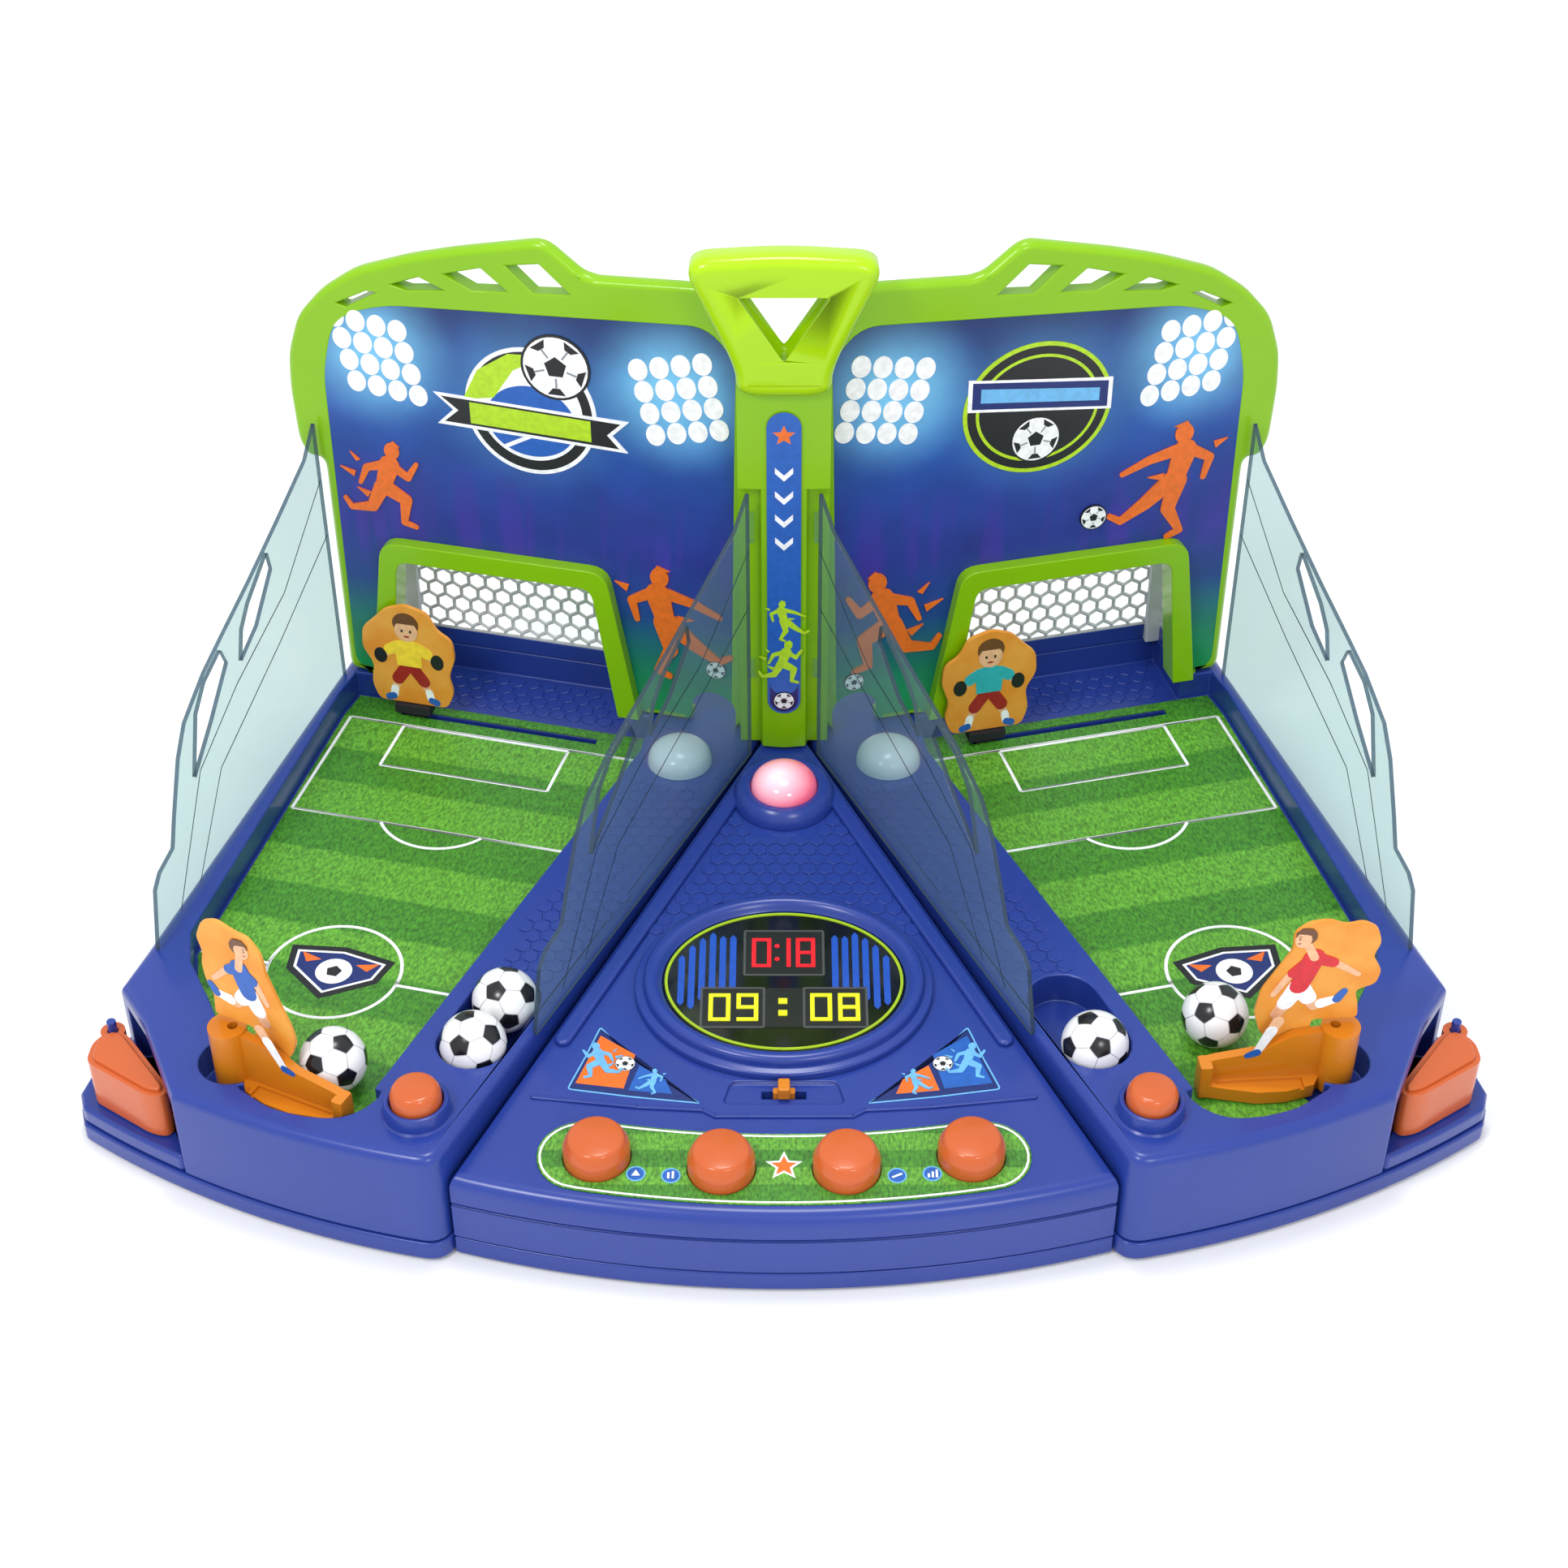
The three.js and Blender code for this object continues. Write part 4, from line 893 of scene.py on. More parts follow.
def hex_net(width, height, pitch):
    """A flat sheet of hexagons cut to a rectangle, ready to be turned into strands."""
    sheet = bmesh.new()
    rows = int(height / (pitch * 0.87)) + 3
    for row in range(rows):
        for column in range(int(width / pitch) + 3):
            x, y = (column + 0.5 * (row % 2) - 1) * pitch, (row - 1) * pitch * 0.866
            corners = circle_points(x, y, pitch / math.sqrt(3), 30, 330, 5)
            sheet.faces.new([sheet.verts.new((u, v, 0)) for u, v in corners])
    bmesh.ops.remove_doubles(sheet, verts=sheet.verts, dist=0.05)
    for place, out in (((0, 0, 0), (-1, 0, 0)), ((0, 0, 0), (0, -1, 0)), ((width, 0, 0), (1, 0, 0)),
                       ((0, height, 0), (0, 1, 0))):
        whole = sheet.verts[:] + sheet.edges[:] + sheet.faces[:]
        bmesh.ops.bisect_plane(sheet, geom=whole, plane_co=place, plane_no=out, clear_outer=True)
    result = bpy.data.meshes.new("part")
    sheet.to_mesh(result)
    sheet.free()
    return result


# Polypropylene, moulded in pale grey, matt.
net_grey = moulded_plastic("polypropylene_grey_moulded", "#CBCCD2", 0.5, 1.49, coat=0.0)
arch_frame = combined(prism(goal_outer, -BOARD_THICK, 6), "DIFFERENCE", prism(goal_inner, -20, 12),
                      prism([(-240, 0), (0, 0), (0, BOARD_BOTTOM), (-240, BOARD_BOTTOM)], -20, 12))
for side, mirror in SIDES.items():
    face = mirror @ board_turn @ standing
    arch_piece = make_piece(f"goal_{side}_arch", arch_frame.copy(), face, [green_abs], "base", "green_abs",
                            f"goal_frame_{side}")
    soften(arch_piece, 1.8, 4)
    along_back = face @ Matrix.Translation((NET_LEFT, NET_WALL_TOP, -GOAL_BACK + 0.8))
    along_side = (mirror @ board_turn @ Matrix.Translation((NET_LEFT + 0.8, BOARD_THICK + 1, NET_WALL_TOP))
                  @ Matrix.Rotation(math.pi / 2, 4, "Z") @ standing)
    nets = [(along_back, NET_RIGHT - NET_LEFT), (along_side, GOAL_BACK - 10)]
    for number, (where, width) in enumerate(nets):
        net = make_piece(f"net_{side}_{number}", hex_net(width, NET_TOP - NET_WALL_TOP, 8.6), where,
                         [net_grey], "base", "net_plastic", *([f"goal_net_{side}"] if number == 0 else []))
        strands = net.modifiers.new("strands", "WIREFRAME")
        strands.thickness = 1.9 * MM
        strands.use_boundary = True
    corner = make_piece(f"net_{side}_corner_post", upright(
        rounded([(NET_LEFT, BOARD_BOTTOM), (NET_LEFT + 9, BOARD_BOTTOM), (NET_LEFT + 9, NET_TOP),
                 (NET_LEFT, NET_TOP)], 1),
        GOAL_BACK - 6, GOAL_BACK - 2), mirror @ board_turn, [net_grey], "base", "net_plastic")
    soften(corner, 0.8, 2)
    wall = prism([(NET_LEFT, GOAL_BACK), (NET_LEFT, BOARD_THICK + 1), (NET_LEFT + 2, BOARD_THICK + 1),
                  (NET_LEFT + 2, GOAL_BACK - 2), (NET_RIGHT - 2, GOAL_BACK - 2),
                  (NET_RIGHT - 2, BOARD_THICK + 1),
                  (NET_RIGHT, BOARD_THICK + 1), (NET_RIGHT, GOAL_BACK)], BOARD_BOTTOM, NET_WALL_TOP)
    wall = make_piece(f"net_{side}_low_wall", wall, mirror @ board_turn, [blue_abs], "base", "blue_abs")
    soften(wall, 0.6, 2)
    scale_field(f"goal_{side}_floor_scales", mirror @ board_turn @ Matrix.Translation((0, 0, PITCH_FLOOR)),
                lambda x, y: NET_LEFT + 8 < x < NET_RIGHT - 8 and 3 < y < GOAL_BACK - 6, 8, (-215, -60),
                (-5, 45))

# ---- Guards ----
# Four clear, slightly blue-green polystyrene panels stand in grooves along both sides of each lane.
# Their slots and the engraved rim line are moulded. The cut edges and the engraved lines get a darker,
# glossier tint: painted shade.
PANEL_THICK = 2.2
guard_outline = [
    (0.5, 55), (213, 55), (213, 199), (199, 187), (165, 176), (130, 165.5), (96, 156.5), (78, 151.5),
    (55, 141), (45, 129), (34, 107), (28, 93.5), (14, 91), (8, 86),
]
GUARD_SLOTS = [
    [(152, 158), (150, 168), (126, 156), (117, 148), (112, 134.5), (131, 141)],
    [(99, 142.5), (95, 152), (77, 147), (66, 138), (56, 111), (78, 126)],
]


def clear_sheet(name, tint, gloss_share, colour):
    """Clear plastic: light passes straight through with a tint, a little is mirrored."""
    material = printed_card(name, shade(colour, 0.95), colour, 0.05, 60.0)
    tree = material.node_tree
    passing = add_node(material, "BsdfTransparent", {"Color": srgb(tint)})
    mixed = add_node(material, "MixShader", {0: gloss_share, 1: passing.outputs["BSDF"],
                                             2: tree.nodes["Principled BSDF"].outputs["BSDF"]})
    tree.links.new(mixed.outputs["Shader"], tree.nodes["Material Output"].inputs["Surface"])
    return material


# Crystal polystyrene from a polished tool, tinted and seen through. Its darker, glossier twin on the cut
# edges and engraved lines is painted shade.
clear_guard = clear_sheet("polystyrene_clear_tinted", "#E6F1F0", 0.12, "#B4CCD0")
guard_edge_painted_shade = clear_sheet("polystyrene_clear_edge_painted_shade", "#7F929C", 0.45, "#4C6070")
guard_sheet = combined(prism(guard_outline, -PANEL_THICK / 2, PANEL_THICK / 2), "DIFFERENCE",
                       *[prism(slot, -5, 5) for slot in GUARD_SLOTS])
# Faces that do not look to the front or back get the darker twin: painted shade on the cut edges.
for polygon in guard_sheet.polygons:
    polygon.material_index = 0 if abs(polygon.normal.z) > 0.5 else 1
CREASES = [[(24, 62), (60, 112), (104, 128), (160, 140), (211, 170)],
           [(44, 62), (78, 100), (150, 120), (211, 140)]]
for side, mirror in SIDES.items():
    for place, front, back in (("outer", (-270, 140), (-216, 348)), ("inner", (-104, 91), (-14, 290))):
        turn = math.atan2(back[1] - front[1], back[0] - front[0])
        where = mirror @ Matrix.Translation((*front, 0)) @ Matrix.Rotation(turn, 4, "Z") @ standing
        guard = make_piece(f"guard_{place}_{side}", guard_sheet.copy(), where, [clear_guard, guard_edge_painted_shade],
                           "base", "clear_guard", f"guard_panel_{place}_{side}")
        soften(guard, 0.5, 2)
        # The engraved lines are drawn as thin raised strips in the darker twin: painted shade.
        grooves = [prism(strip(a, b, 0.7), PANEL_THICK / 2 + 0.01, PANEL_THICK / 2 + 0.08 + 0.01 * i)
                   for crease in CREASES for i, (a, b) in enumerate(zip(crease, crease[1:]))]
        make_piece(f"guard_{place}_{side}_creases", joined(grooves), where, [guard_edge_painted_shade], "base",
                   "clear_guard")

# ---- Post and handle ----
# A hollow green ABS post stands between the boards and ends in a thick lime carrying handle.
# A printed strip runs down its front; its words are left out, the star and players stay.
handle_outline = rounded([(-44, 312), (-21, 262), (-20.3, 248), (20.3, 248), (21, 262), (44, 312),
                          (0, 314.6)], 14, 8)
handle_opening = rounded([(-27, 300.5), (0, 258), (27, 300.5)], 10, 8)
HANDLE_FRONT, HANDLE_BACK, HANDLE_EDGE = 281, 297.5, 5.2
OPENING_EDGE = 0.8 * HANDLE_EDGE
LEVEL_SHIFT = 1.0001
# The same ABS in a brighter, yellower green, slightly glossier.
lime_abs = moulded_plastic("abs_bright_lime_moulded", "#A4D000", 0.22, 1.53)
# The hole's rings lie a hair behind the loop's, so that no two faces coincide in the cut.
loop_levels, hole_levels = [], []
for k in range(-6, 7):
    turned = math.radians(15 * k)
    middle = -(HANDLE_FRONT + HANDLE_BACK) / 2
    straight = (HANDLE_BACK - HANDLE_FRONT) / 2 - HANDLE_EDGE
    depth = middle + math.copysign(straight, k) + HANDLE_EDGE * math.sin(turned)
    loop_levels.append((inset(handle_outline, HANDLE_EDGE * (1 - math.cos(turned))), depth))
    hole_levels.append((inset(handle_opening, -OPENING_EDGE * (1 - math.cos(turned))), depth * LEVEL_SHIFT))
hole_levels = [(hole_levels[0][0], -310)] + hole_levels + [(hole_levels[-1][0], -270)]
handle = combined(stacked(loop_levels), "DIFFERENCE", stacked(hole_levels))
handle = make_piece("handle_loop", handle, standing, [lime_abs], "base", "lime_abs", "carry_handle")
post = combined(prism([(-11, 290), (-10, 286.5), (0, 285.2), (10, 286.5), (11, 290), (11, 296),
                       (-11, 296)], 58.3, 201),
                "UNION",
                prism([(-20.5, 291), (20.5, 291), (20.5, 298.2), (-20.5, 298.2)], 58.3, 280),
                prism([(-20.5, 286.5), (-11, 286), (11, 286), (20.5, 286.5), (20.5, 294), (-20.5, 294)],
                      200.5, 280),
                prism([(-13, 298), (13, 298), (13, 308), (-13, 308)], 58.3, 253))
post = combined(post, "DIFFERENCE", moved(prism(inset(handle_outline, -0.4), -298.6, -270), standing))
post = make_piece("post_column", post, SIDES["left"], [green_abs], "base", "green_abs", "center_post")
soften(post, 1.4, 4)
star = [(radius * math.cos(a), radius * math.sin(a)) for i in range(10)
        for radius, a in [((5.2, 2.3)[i % 2], math.radians(90 + 36 * i))]]
post_layers = [("blue", bar((0, 86), (0, 232), 7.6, 14)), ("navy", bar((0, 86), (0, 150), 6.6, 14)),
               ("blue", bar((0, 96), (0, 232), 6.6, 14)), ("orange", [(x, y + 228) for x, y in star])]
post_layers += [("white", [(-4, z), (0, z - 4), (4, z), (4, z - 3), (0, z - 7), (-4, z - 3)])
                for z in (212, 200, 188, 176)]
post_layers += [("lime", o) for o in place_all(SHOOTER, 0, 120, 0.42) + place_all(RUNNER, 0, 94, 0.5)]
post_layers += ball_print(0, 86, 4.6)
printed("post_strip", Matrix.Translation((0, 285.2, 0)) @ standing, post_layers, "base", "green_abs")
for sign in (-1, 1):
    for low, high in ((171, 186), (97, 106)):
        clip = make_piece(f"post_clip_{'left' if sign < 0 else 'right'}_{low}", upright(
            [(sign * 15 - 1.6, low), (sign * 15 + 1.6, low), (sign * 15 + 1.6, high),
             (sign * 15 - 1.6, high)], 288, 292),
            SIDES["left"], [clear_guard], "base", "clear_guard")
        soften(clip, 0.4, 2)

# ---- Kickers and their player cards ----
# Each kicker is one orange ABS moulding: a hub on a shaft with a falling blade and a curved lip in front.
# A die-cut card with a printed player stands behind the blade. Both turn with the trigger.
HUB_R = 8
KICKER_REST = math.radians(-26)
RIGHT_TURN = math.radians(22)
# ABS, amber orange, satin.
orange_abs = moulded_plastic("abs_orange_moulded", "#D07C17", 0.3, 1.53)
hub = combined(prism(oval(0, 0, HUB_R, HUB_R, 48), 45.7, 77), "UNION",
               upright([(0, 45.7), (57, 46.7), (57, 61), (50, 63), (33, 66), (20, 74), (0, 77)], -2, 2),
               prism([(6, -1.5), (57, -1.5), (57, -5), (46, -8), (34, -11), (22, -11), (10, -8)], 45.7, 52),
               prism(rounded([(52, -6), (57, -6), (57, 2), (52, 2)], 1), 45.7, 62))
hub = combined(hub, "DIFFERENCE", prism(oval(2, 1, 2.2, 2.2, 20), 70, 80),
               prism([(14, -9.6), (48, -6.2), (50, -4.6), (50, -3.2), (14, -3.2)], 50.6, 54))
shaft = prism(oval(0, 0, 4, 4, 24), 28, 46.5)
CARD_OUTLINES = {
    "left": [(-7, 79), (-6, 90), (-9, 98), (-9.5, 106), (-8, 112), (-10, 120), (-6, 129), (1, 132),
             (9, 129), (16, 128),
             (21, 121), (22, 111), (26, 99), (31, 85), (32, 78), (28, 68), (12, 68), (12, 79)],
    "right": [(-7, 79), (-6, 87), (-4, 94), (-12, 97), (-13.5, 104), (-9, 112), (-11.5, 119), (-9, 127),
              (-3, 130.5),
              (4, 129), (11, 132), (19, 131), (24.5, 126), (24, 117), (29, 107), (34.5, 96), (36, 84),
              (33, 74), (28, 68), (12, 68), (12, 79)],
}
# Grey-backed card, printed orange, matt varnish.
card_orange = printed_card("card_orange_print", "#E08A22", "#E8A03E", 0.5, 18.0)


def printed_player(head, shirt, arm_back, arm_front, leg_back, leg_front, shirt_ink):
    """A small kicking player in print, each limb given by its joints."""
    def part_way(a, b, t):
        return tuple(Vector(a).lerp(Vector(b), t))

    neck, hips = shirt
    shapes = []
    for knee, ankle, toe in (leg_back, leg_front):
        shapes += [("skin", o) for o in limb((*hips, 3.4), (*knee, 2.5), (*ankle, 1.6))]
        shapes += [("white", o) for o in limb((*part_way(knee, ankle, 0.3), 2.5), (*ankle, 1.8))]
        shapes += [("blue", o) for o in limb((*ankle, 2.0), (*toe, 1.5))]
        shapes += [("white", o) for o in limb((*hips, 4.2), (*part_way(hips, knee, 0.6), 3.5))]
    for elbow, hand in (arm_back, arm_front):
        shapes += [("skin", o) for o in limb((*neck, 1.9), (*elbow, 1.6), (*hand, 1.2), (*hand, 1.6))[:2]]
        shapes += [(shirt_ink, o) for o in limb((*neck, 3.0), (*part_way(neck, elbow, 0.8), 2.4))]
    shapes += [(shirt_ink, o) for o in limb((*neck, 4.4), (*part_way(neck, hips, 0.55), 4.3), (*hips, 3.9))]
    shapes += [("skin", o) for o in limb((*neck, 1.8), (*head, 1.8))]
    x, z = head
    shapes += [("brown", oval(x - 0.5, z + 1.3, 4.3, 4.2, 24)),
               ("skin", oval(x + 0.6, z - 0.4, 3.4, 4.0, 24)),
               ("brown",
                [(x - 4.6, z + 1), (x - 3, z + 5), (x + 1.5, z + 5.6), (x + 4, z + 3), (x - 0.5, z + 2.4)])]
    face = [("brown", oval(x + 2.1, z + 0.1, 0.4, 0.55, 10)),
            ("brown", strip((x + 1.4, z + 1.4), (x + 2.9, z + 1.3), 0.35)),
            ("dark_red", oval(x + 2.1, z - 2.1, 0.7, 0.28, 10))]
    return [("dark_outline", inset(o, -0.45)) for _, o in shapes] + shapes + face


PLAYERS = {
    "left": printed_player((11.5, 120.5), ((9.5, 110), (12.5, 98)), [(3, 107), (-4, 100)],
                           [(17, 104), (21, 95)],
                           [(5.5, 90), (-4, 92), (-6.5, 96)], [(18.5, 84), (28, 66), (31.5, 65)], "blue"),
    "right": printed_player((20, 123), ((15, 113), (19.5, 98)), [(5, 109), (-4, 103)],
                            [(24.5, 103), (29.5, 94)],
                            [(12, 87), (3, 90), (0.5, 94)], [(27, 83), (34, 66), (37.5, 64.5)], "red"),
}
for side, mirror in SIDES.items():
    turn = KICKER_REST + (RIGHT_TURN if side == "right" else 0)
    at_hub = mirror @ Matrix.Translation((*HUB, 0)) @ Matrix.Rotation(turn, 4, "Z")
    body = f"kicker_{side}"
    blade = make_piece(f"kicker_{side}_blade", hub.copy(), at_hub, [orange_abs], body, "orange_abs",
                       f"kicker_{side}")
    soften(blade, 0.9, 3)
    rod = make_piece(f"kicker_{side}_shaft", shaft.copy(), at_hub, [orange_abs], body, "orange_abs")
    soften(rod, 0.4, 2)
    card = combined(prism(rounded(CARD_OUTLINES[side], 2.5, 4), -4.1, -2.3), "DIFFERENCE",
                    moved(prism(oval(0, 0, 8.4, 8.4, 40), 40, 78), standing.inverted()))
    card = make_piece(f"kicker_{side}_card", card, at_hub @ standing, [card_orange], body, "player_card",
                      f"kicker_player_{side}")
    soften(card, 0.3, 2)
    on_card = [layer for layer in PLAYERS[side] if min(z for _, z in layer[1]) > 70]
    on_blade = [layer for layer in PLAYERS[side] if min(z for _, z in layer[1]) <= 70]
    printed(f"kicker_{side}_player_print", at_hub @ Matrix.Translation((0, 2.3, 0)) @ standing, on_card,
            body, "player_card")
    printed(f"kicker_{side}_leg_print", at_hub @ Matrix.Translation((0, -2.0, 0)) @ standing, on_blade,
            body, "player_card")

# ---- Triggers ----
# A two-level push paddle turns on a pin at each outer corner and swings the kicker through a hidden link.
# It is one red-orange ABS moulding with a raised pad; the pin is part of the wing shell.
# ABS, red-orange, satin.
red_abs = moulded_plastic("abs_red_orange_moulded", "#C65E2C", 0.26, 1.53)
PADDLE = [(-291, 99), (-291.5, 87), (-264, 68), (-256.5, 66), (-253.5, 71), (-277, 103), (-284, 107)]
paddle = combined(prism(rounded(PADDLE, 4, 6), 21, 44), "UNION",
                  prism(oval(*TRIGGER_PIVOT, 5.2, 5.2, 32), 21, 44))
paddle = combined(paddle, "DIFFERENCE", prism(oval(*TRIGGER_PIVOT, 2.4, 2.4, 24), 10, 50))
paddle_pad = prism(rounded(inset(PADDLE, 2.2), 3, 6), 43, 46)
for side, mirror in SIDES.items():
    lever = make_piece(f"trigger_{side}_paddle", paddle.copy(), mirror, [red_abs], f"trigger_{side}",
                       "red_orange_abs", f"trigger_{side}")
    soften(lever, 1.4, 4)
    pad = make_piece(f"trigger_{side}_pad", paddle_pad.copy(), mirror, [red_abs], f"trigger_{side}",
                     "red_orange_abs")
    soften(pad, 1.0, 3)

# ---- Keepers ----
# Die-cut cards with a printed goalkeeper stand on the carriages and slide across the goal mouths.
# Each is stiff printed and varnished card, fixed to its carriage through the slot in the lane's floor.
keeper_outline = rounded([
    (-17, 51.8), (17, 51.8), (21, 60), (19, 68), (23, 78), (22, 87), (15, 91), (11, 99), (0, 102),
    (-10, 99), (-16, 93), (-22, 88), (-23, 78), (-18, 70), (-20, 60),
], 3, 4)


def printed_keeper(shirt_ink):
    """A goalkeeper with arms spread, in print."""
    layers = [("skin", o) for o in limb((-3, 68), (-8, 60), (-9, 56), radius=1.8)
              + limb((3, 68), (8, 60), (9, 56), radius=1.8)]
    layers += [("white", o) for o in limb((-8.6, 58.5), (-9.2, 55.5), radius=1.9)
               + limb((8.6, 58.5), (9.2, 55.5), radius=1.9)]
    layers += [("blue", o) for o in limb((-9.5, 54.6), (-12, 53.8), radius=1.7)
               + limb((9.5, 54.6), (12, 53.8), radius=1.7)]
    layers += [("dark_red", o) for o in limb((-2, 70), (-6.5, 64), radius=3.0)
               + limb((2, 70), (6.5, 64), radius=3.0)]
    layers += [("skin", o) for o in limb((-6, 80), (-12, 76), radius=1.6)
               + limb((6, 80), (12, 76), radius=1.6)]
    layers += [(shirt_ink, o) for o in limb((-5, 81), (-9.5, 78.5), radius=2.7)
               + limb((5, 81), (9.5, 78.5), radius=2.7)]
    layers += [(shirt_ink, [(-7, 83), (7, 83), (6, 71), (-6, 71)]), (shirt_ink, oval(0, 82, 6, 2.5, 20))]
    layers += [("black", o) for o in [oval(-14, 75, 3.2, 3.8, 20), oval(14, 75, 3.2, 3.8, 20)]]
    layers += [("brown", oval(0, 92.6, 6.4, 5.4, 28)), ("skin", oval(0, 89, 5.7, 5.2, 28))]
    layers += [("brown", circle_points(0, 91.4, 6.3, 10, 170, 14))]
    layers += [("black", oval(x, 89, 0.6, 0.8, 12))
               for x in (-2.1, 2.1)] + [("dark_red", oval(0, 86.3, 1.5, 0.45, 12))]
    return layers


KEEPER_OUTER, KEEPER_TRAVEL = -184, 86
KEEPER_FOOT = Matrix.Translation((0, 51.8, 0))
KEEPER_GROWN = KEEPER_FOOT @ Matrix.Diagonal((1.03, 1.15, 1, 1)) @ KEEPER_FOOT.inverted()
for side, mirror in SIDES.items():
    along = KEEPER_OUTER + (KEEPER_TRAVEL if side == "right" else 0)
    where = mirror @ board_turn @ Matrix.Translation((along, KEEPER_LINE, 0)) @ standing @ KEEPER_GROWN
    card = make_piece(f"keeper_{side}_card", prism(keeper_outline, -1, 1), where, [card_orange],
                      f"keeper_{side}", "player_card", f"keeper_{side}")
    soften(card, 0.3, 2)
    printed(f"keeper_{side}_print", where @ Matrix.Translation((0, 0, 1)),
            printed_keeper("yellow" if side == "left" else "teal"), f"keeper_{side}", "player_card")

# ---- Console controls and display ----
# Four domed push buttons sit in a turf-printed plate; behind them a slide switch and an oval smoked
# window in a thick blue surround, with lit digits behind it. The words round them are left out.


def lofted(profile, extra_x=0, extra_y=0, at=(0, 0), steps=64, closed=False):
    """Rings given as (radius, height), widened into ovals by the extras; closed joins last to first."""
    points, faces = [], []
    for radius, z in profile:
        wide_x = radius + extra_x if radius else 0.001
        wide_y = radius + extra_y if radius else 0.001
        points += [(x, y, z) for x, y in oval(*at, wide_x, wide_y, steps)]
    rings = len(profile)
    for r in range(rings if closed else rings - 1):
        low, high = r * steps, ((r + 1) % rings) * steps
        faces += [(low + k, low + (k + 1) % steps, high + (k + 1) % steps, high + k) for k in range(steps)]
    if not closed:
        faces += [tuple(reversed(range(steps))), tuple(range((rings - 1) * steps, rings * steps))]
    mesh = bpy.data.meshes.new("part")
    mesh.from_pydata(points, [], faces)
    return mesh


plate = combined(prism(plate_outline, -1.1, 0.3), "DIFFERENCE",
                 *[prism(oval(x, y, 14, 14), -9, 9) for x, y in CONSOLE_BUTTONS])
plate_turf = grass_card("card_turf_print_plate", 0, 9)
make_piece("controls_plate", plate, on_slope, [plate_turf], "base", "grass_print", "button_plate")
border_out, border_in = inset(plate_outline, 0.8), inset(plate_outline, 1.7)
border = combined(prism(border_out, 0.2, 0.38), "DIFFERENCE", prism(border_in, -1, 2))
make_piece("controls_plate_line", border, on_slope, [INKS["white"]], "base", "grass_print")
big_star = [(x * 1.05, 27 + y * 1.05) for x, y in star]
icons = [("white", [(x * 1.5, 27 + y * 1.5) for x, y in star]), ("orange", big_star)]
for x, y in ((-59, 23), (-45, 22), (45, 22), (59, 23)):
    icons += [("sky", oval(x, y, 3.9, 3.9, 28)), ("blue", oval(x, y, 3.3, 3.3, 28))]
icons += [("white", circle_points(-59, 23, 2, 90, 330, 2)), ("white", strip((-46, 20.5), (-46, 23.6), 0.9)),
          ("white", strip((-44.2, 20.5), (-44.2, 24.2), 0.9)), ("white", strip((43, 21), (47, 23), 0.9)),
          ("white", strip((57.6, 21), (57.6, 23), 0.9)), ("white", strip((59.2, 21), (59.2, 24), 0.9)),
          ("white", strip((60.8, 21), (60.8, 25), 0.9))]
printed("controls_plate_icons", on_slope @ Matrix.Translation((0, 0, 0.3)), icons, "base", "grass_print")
button = [(0, -9), (13.4, -9), (13.6, -8.6), (13.6, 6.2), (13.3, 7.1), (11.5, 10.9), (10.9, 11.6),
          (10, 11.9), (0, 12.4)]
for name, place in zip(("power", "mode", "sound", "level"), CONSOLE_BUTTONS):
    make_piece(f"{name}_button_cap", lofted(button, at=place), on_slope, [red_abs], f"{name}_button",
               "red_orange_abs", f"{name}_button")
make_piece("switch_knob_base",
           prism(rounded([(-4.5, 65.4), (4.5, 65.4), (4.5, 68.6), (-4.5, 68.6)], 0.8), -7, 1),
           on_slope, [orange_abs], "power_slider", "orange_abs", "power_slider")
knob = make_piece("switch_knob_grip",
                  prism(rounded([(-2.5, 63.5), (2.5, 63.5), (2.5, 70.5), (-2.5, 70.5)], 1), -1, 5),
                  on_slope, [orange_abs], "power_slider", "orange_abs")
soften(knob, 0.8, 3)
SURROUND = [(44.9, 0.3), (44.9, 2.4), (44.5, 3.0), (43.9, 3.3), (41.9, 3.4), (41.4, 3.7), (41.1, 4.4),
            (40.9, 5.8),
            (40.3, 6.9), (39.2, 7.7), (37.8, 8), (36.4, 7.8), (35.2, 7.1), (34.2, 5.8), (33.4, 4.5),
            (33, 4.1), (33, 0.3)]
make_piece("screen_surround", lofted(SURROUND[::-1], 19.1, 9.6, (0, SCREEN_Y), 96, True), on_slope,
           [blue_abs], "base", "blue_abs", "display_bezel")
# Smoked acrylic, polished.
smoked = printed_card("acrylic_smoked_black", "#08080C", "#101018", 0.08, 30.0)
window_rings = [(0, -4), (32.4, -4), (32.4, 3.6), (32, 4), (0, 4)]
make_piece("screen_window", lofted(window_rings, 19.6, 9.8, (0, SCREEN_Y), 96), on_slope, [smoked], "base",
           "display_window", "score_display")


def glowing(name, colour, strength):
    """Light from behind the window, tinted, a little uneven."""
    material, surface = start_material(name)
    position = add_node(material, "TexCoord").outputs["Object"]
    uneven = add_node(material, "TexNoise", {"Vector": position, "Scale": 1 / (4 * MM)})
    tone = add_node(material, "ValToRGB", {"Fac": uneven.outputs["Fac"]})
    tone.color_ramp.elements[0].color = srgb(shade(colour, 0.85))
    tone.color_ramp.elements[1].color = srgb(colour)
    for socket in ("Base Color", "Emission Color"):
        material.node_tree.links.new(tone.outputs["Color"], surface.inputs[socket])
    surface.inputs["Emission Strength"].default_value = strength
    surface.inputs["Roughness"].default_value = 0.3
    return material


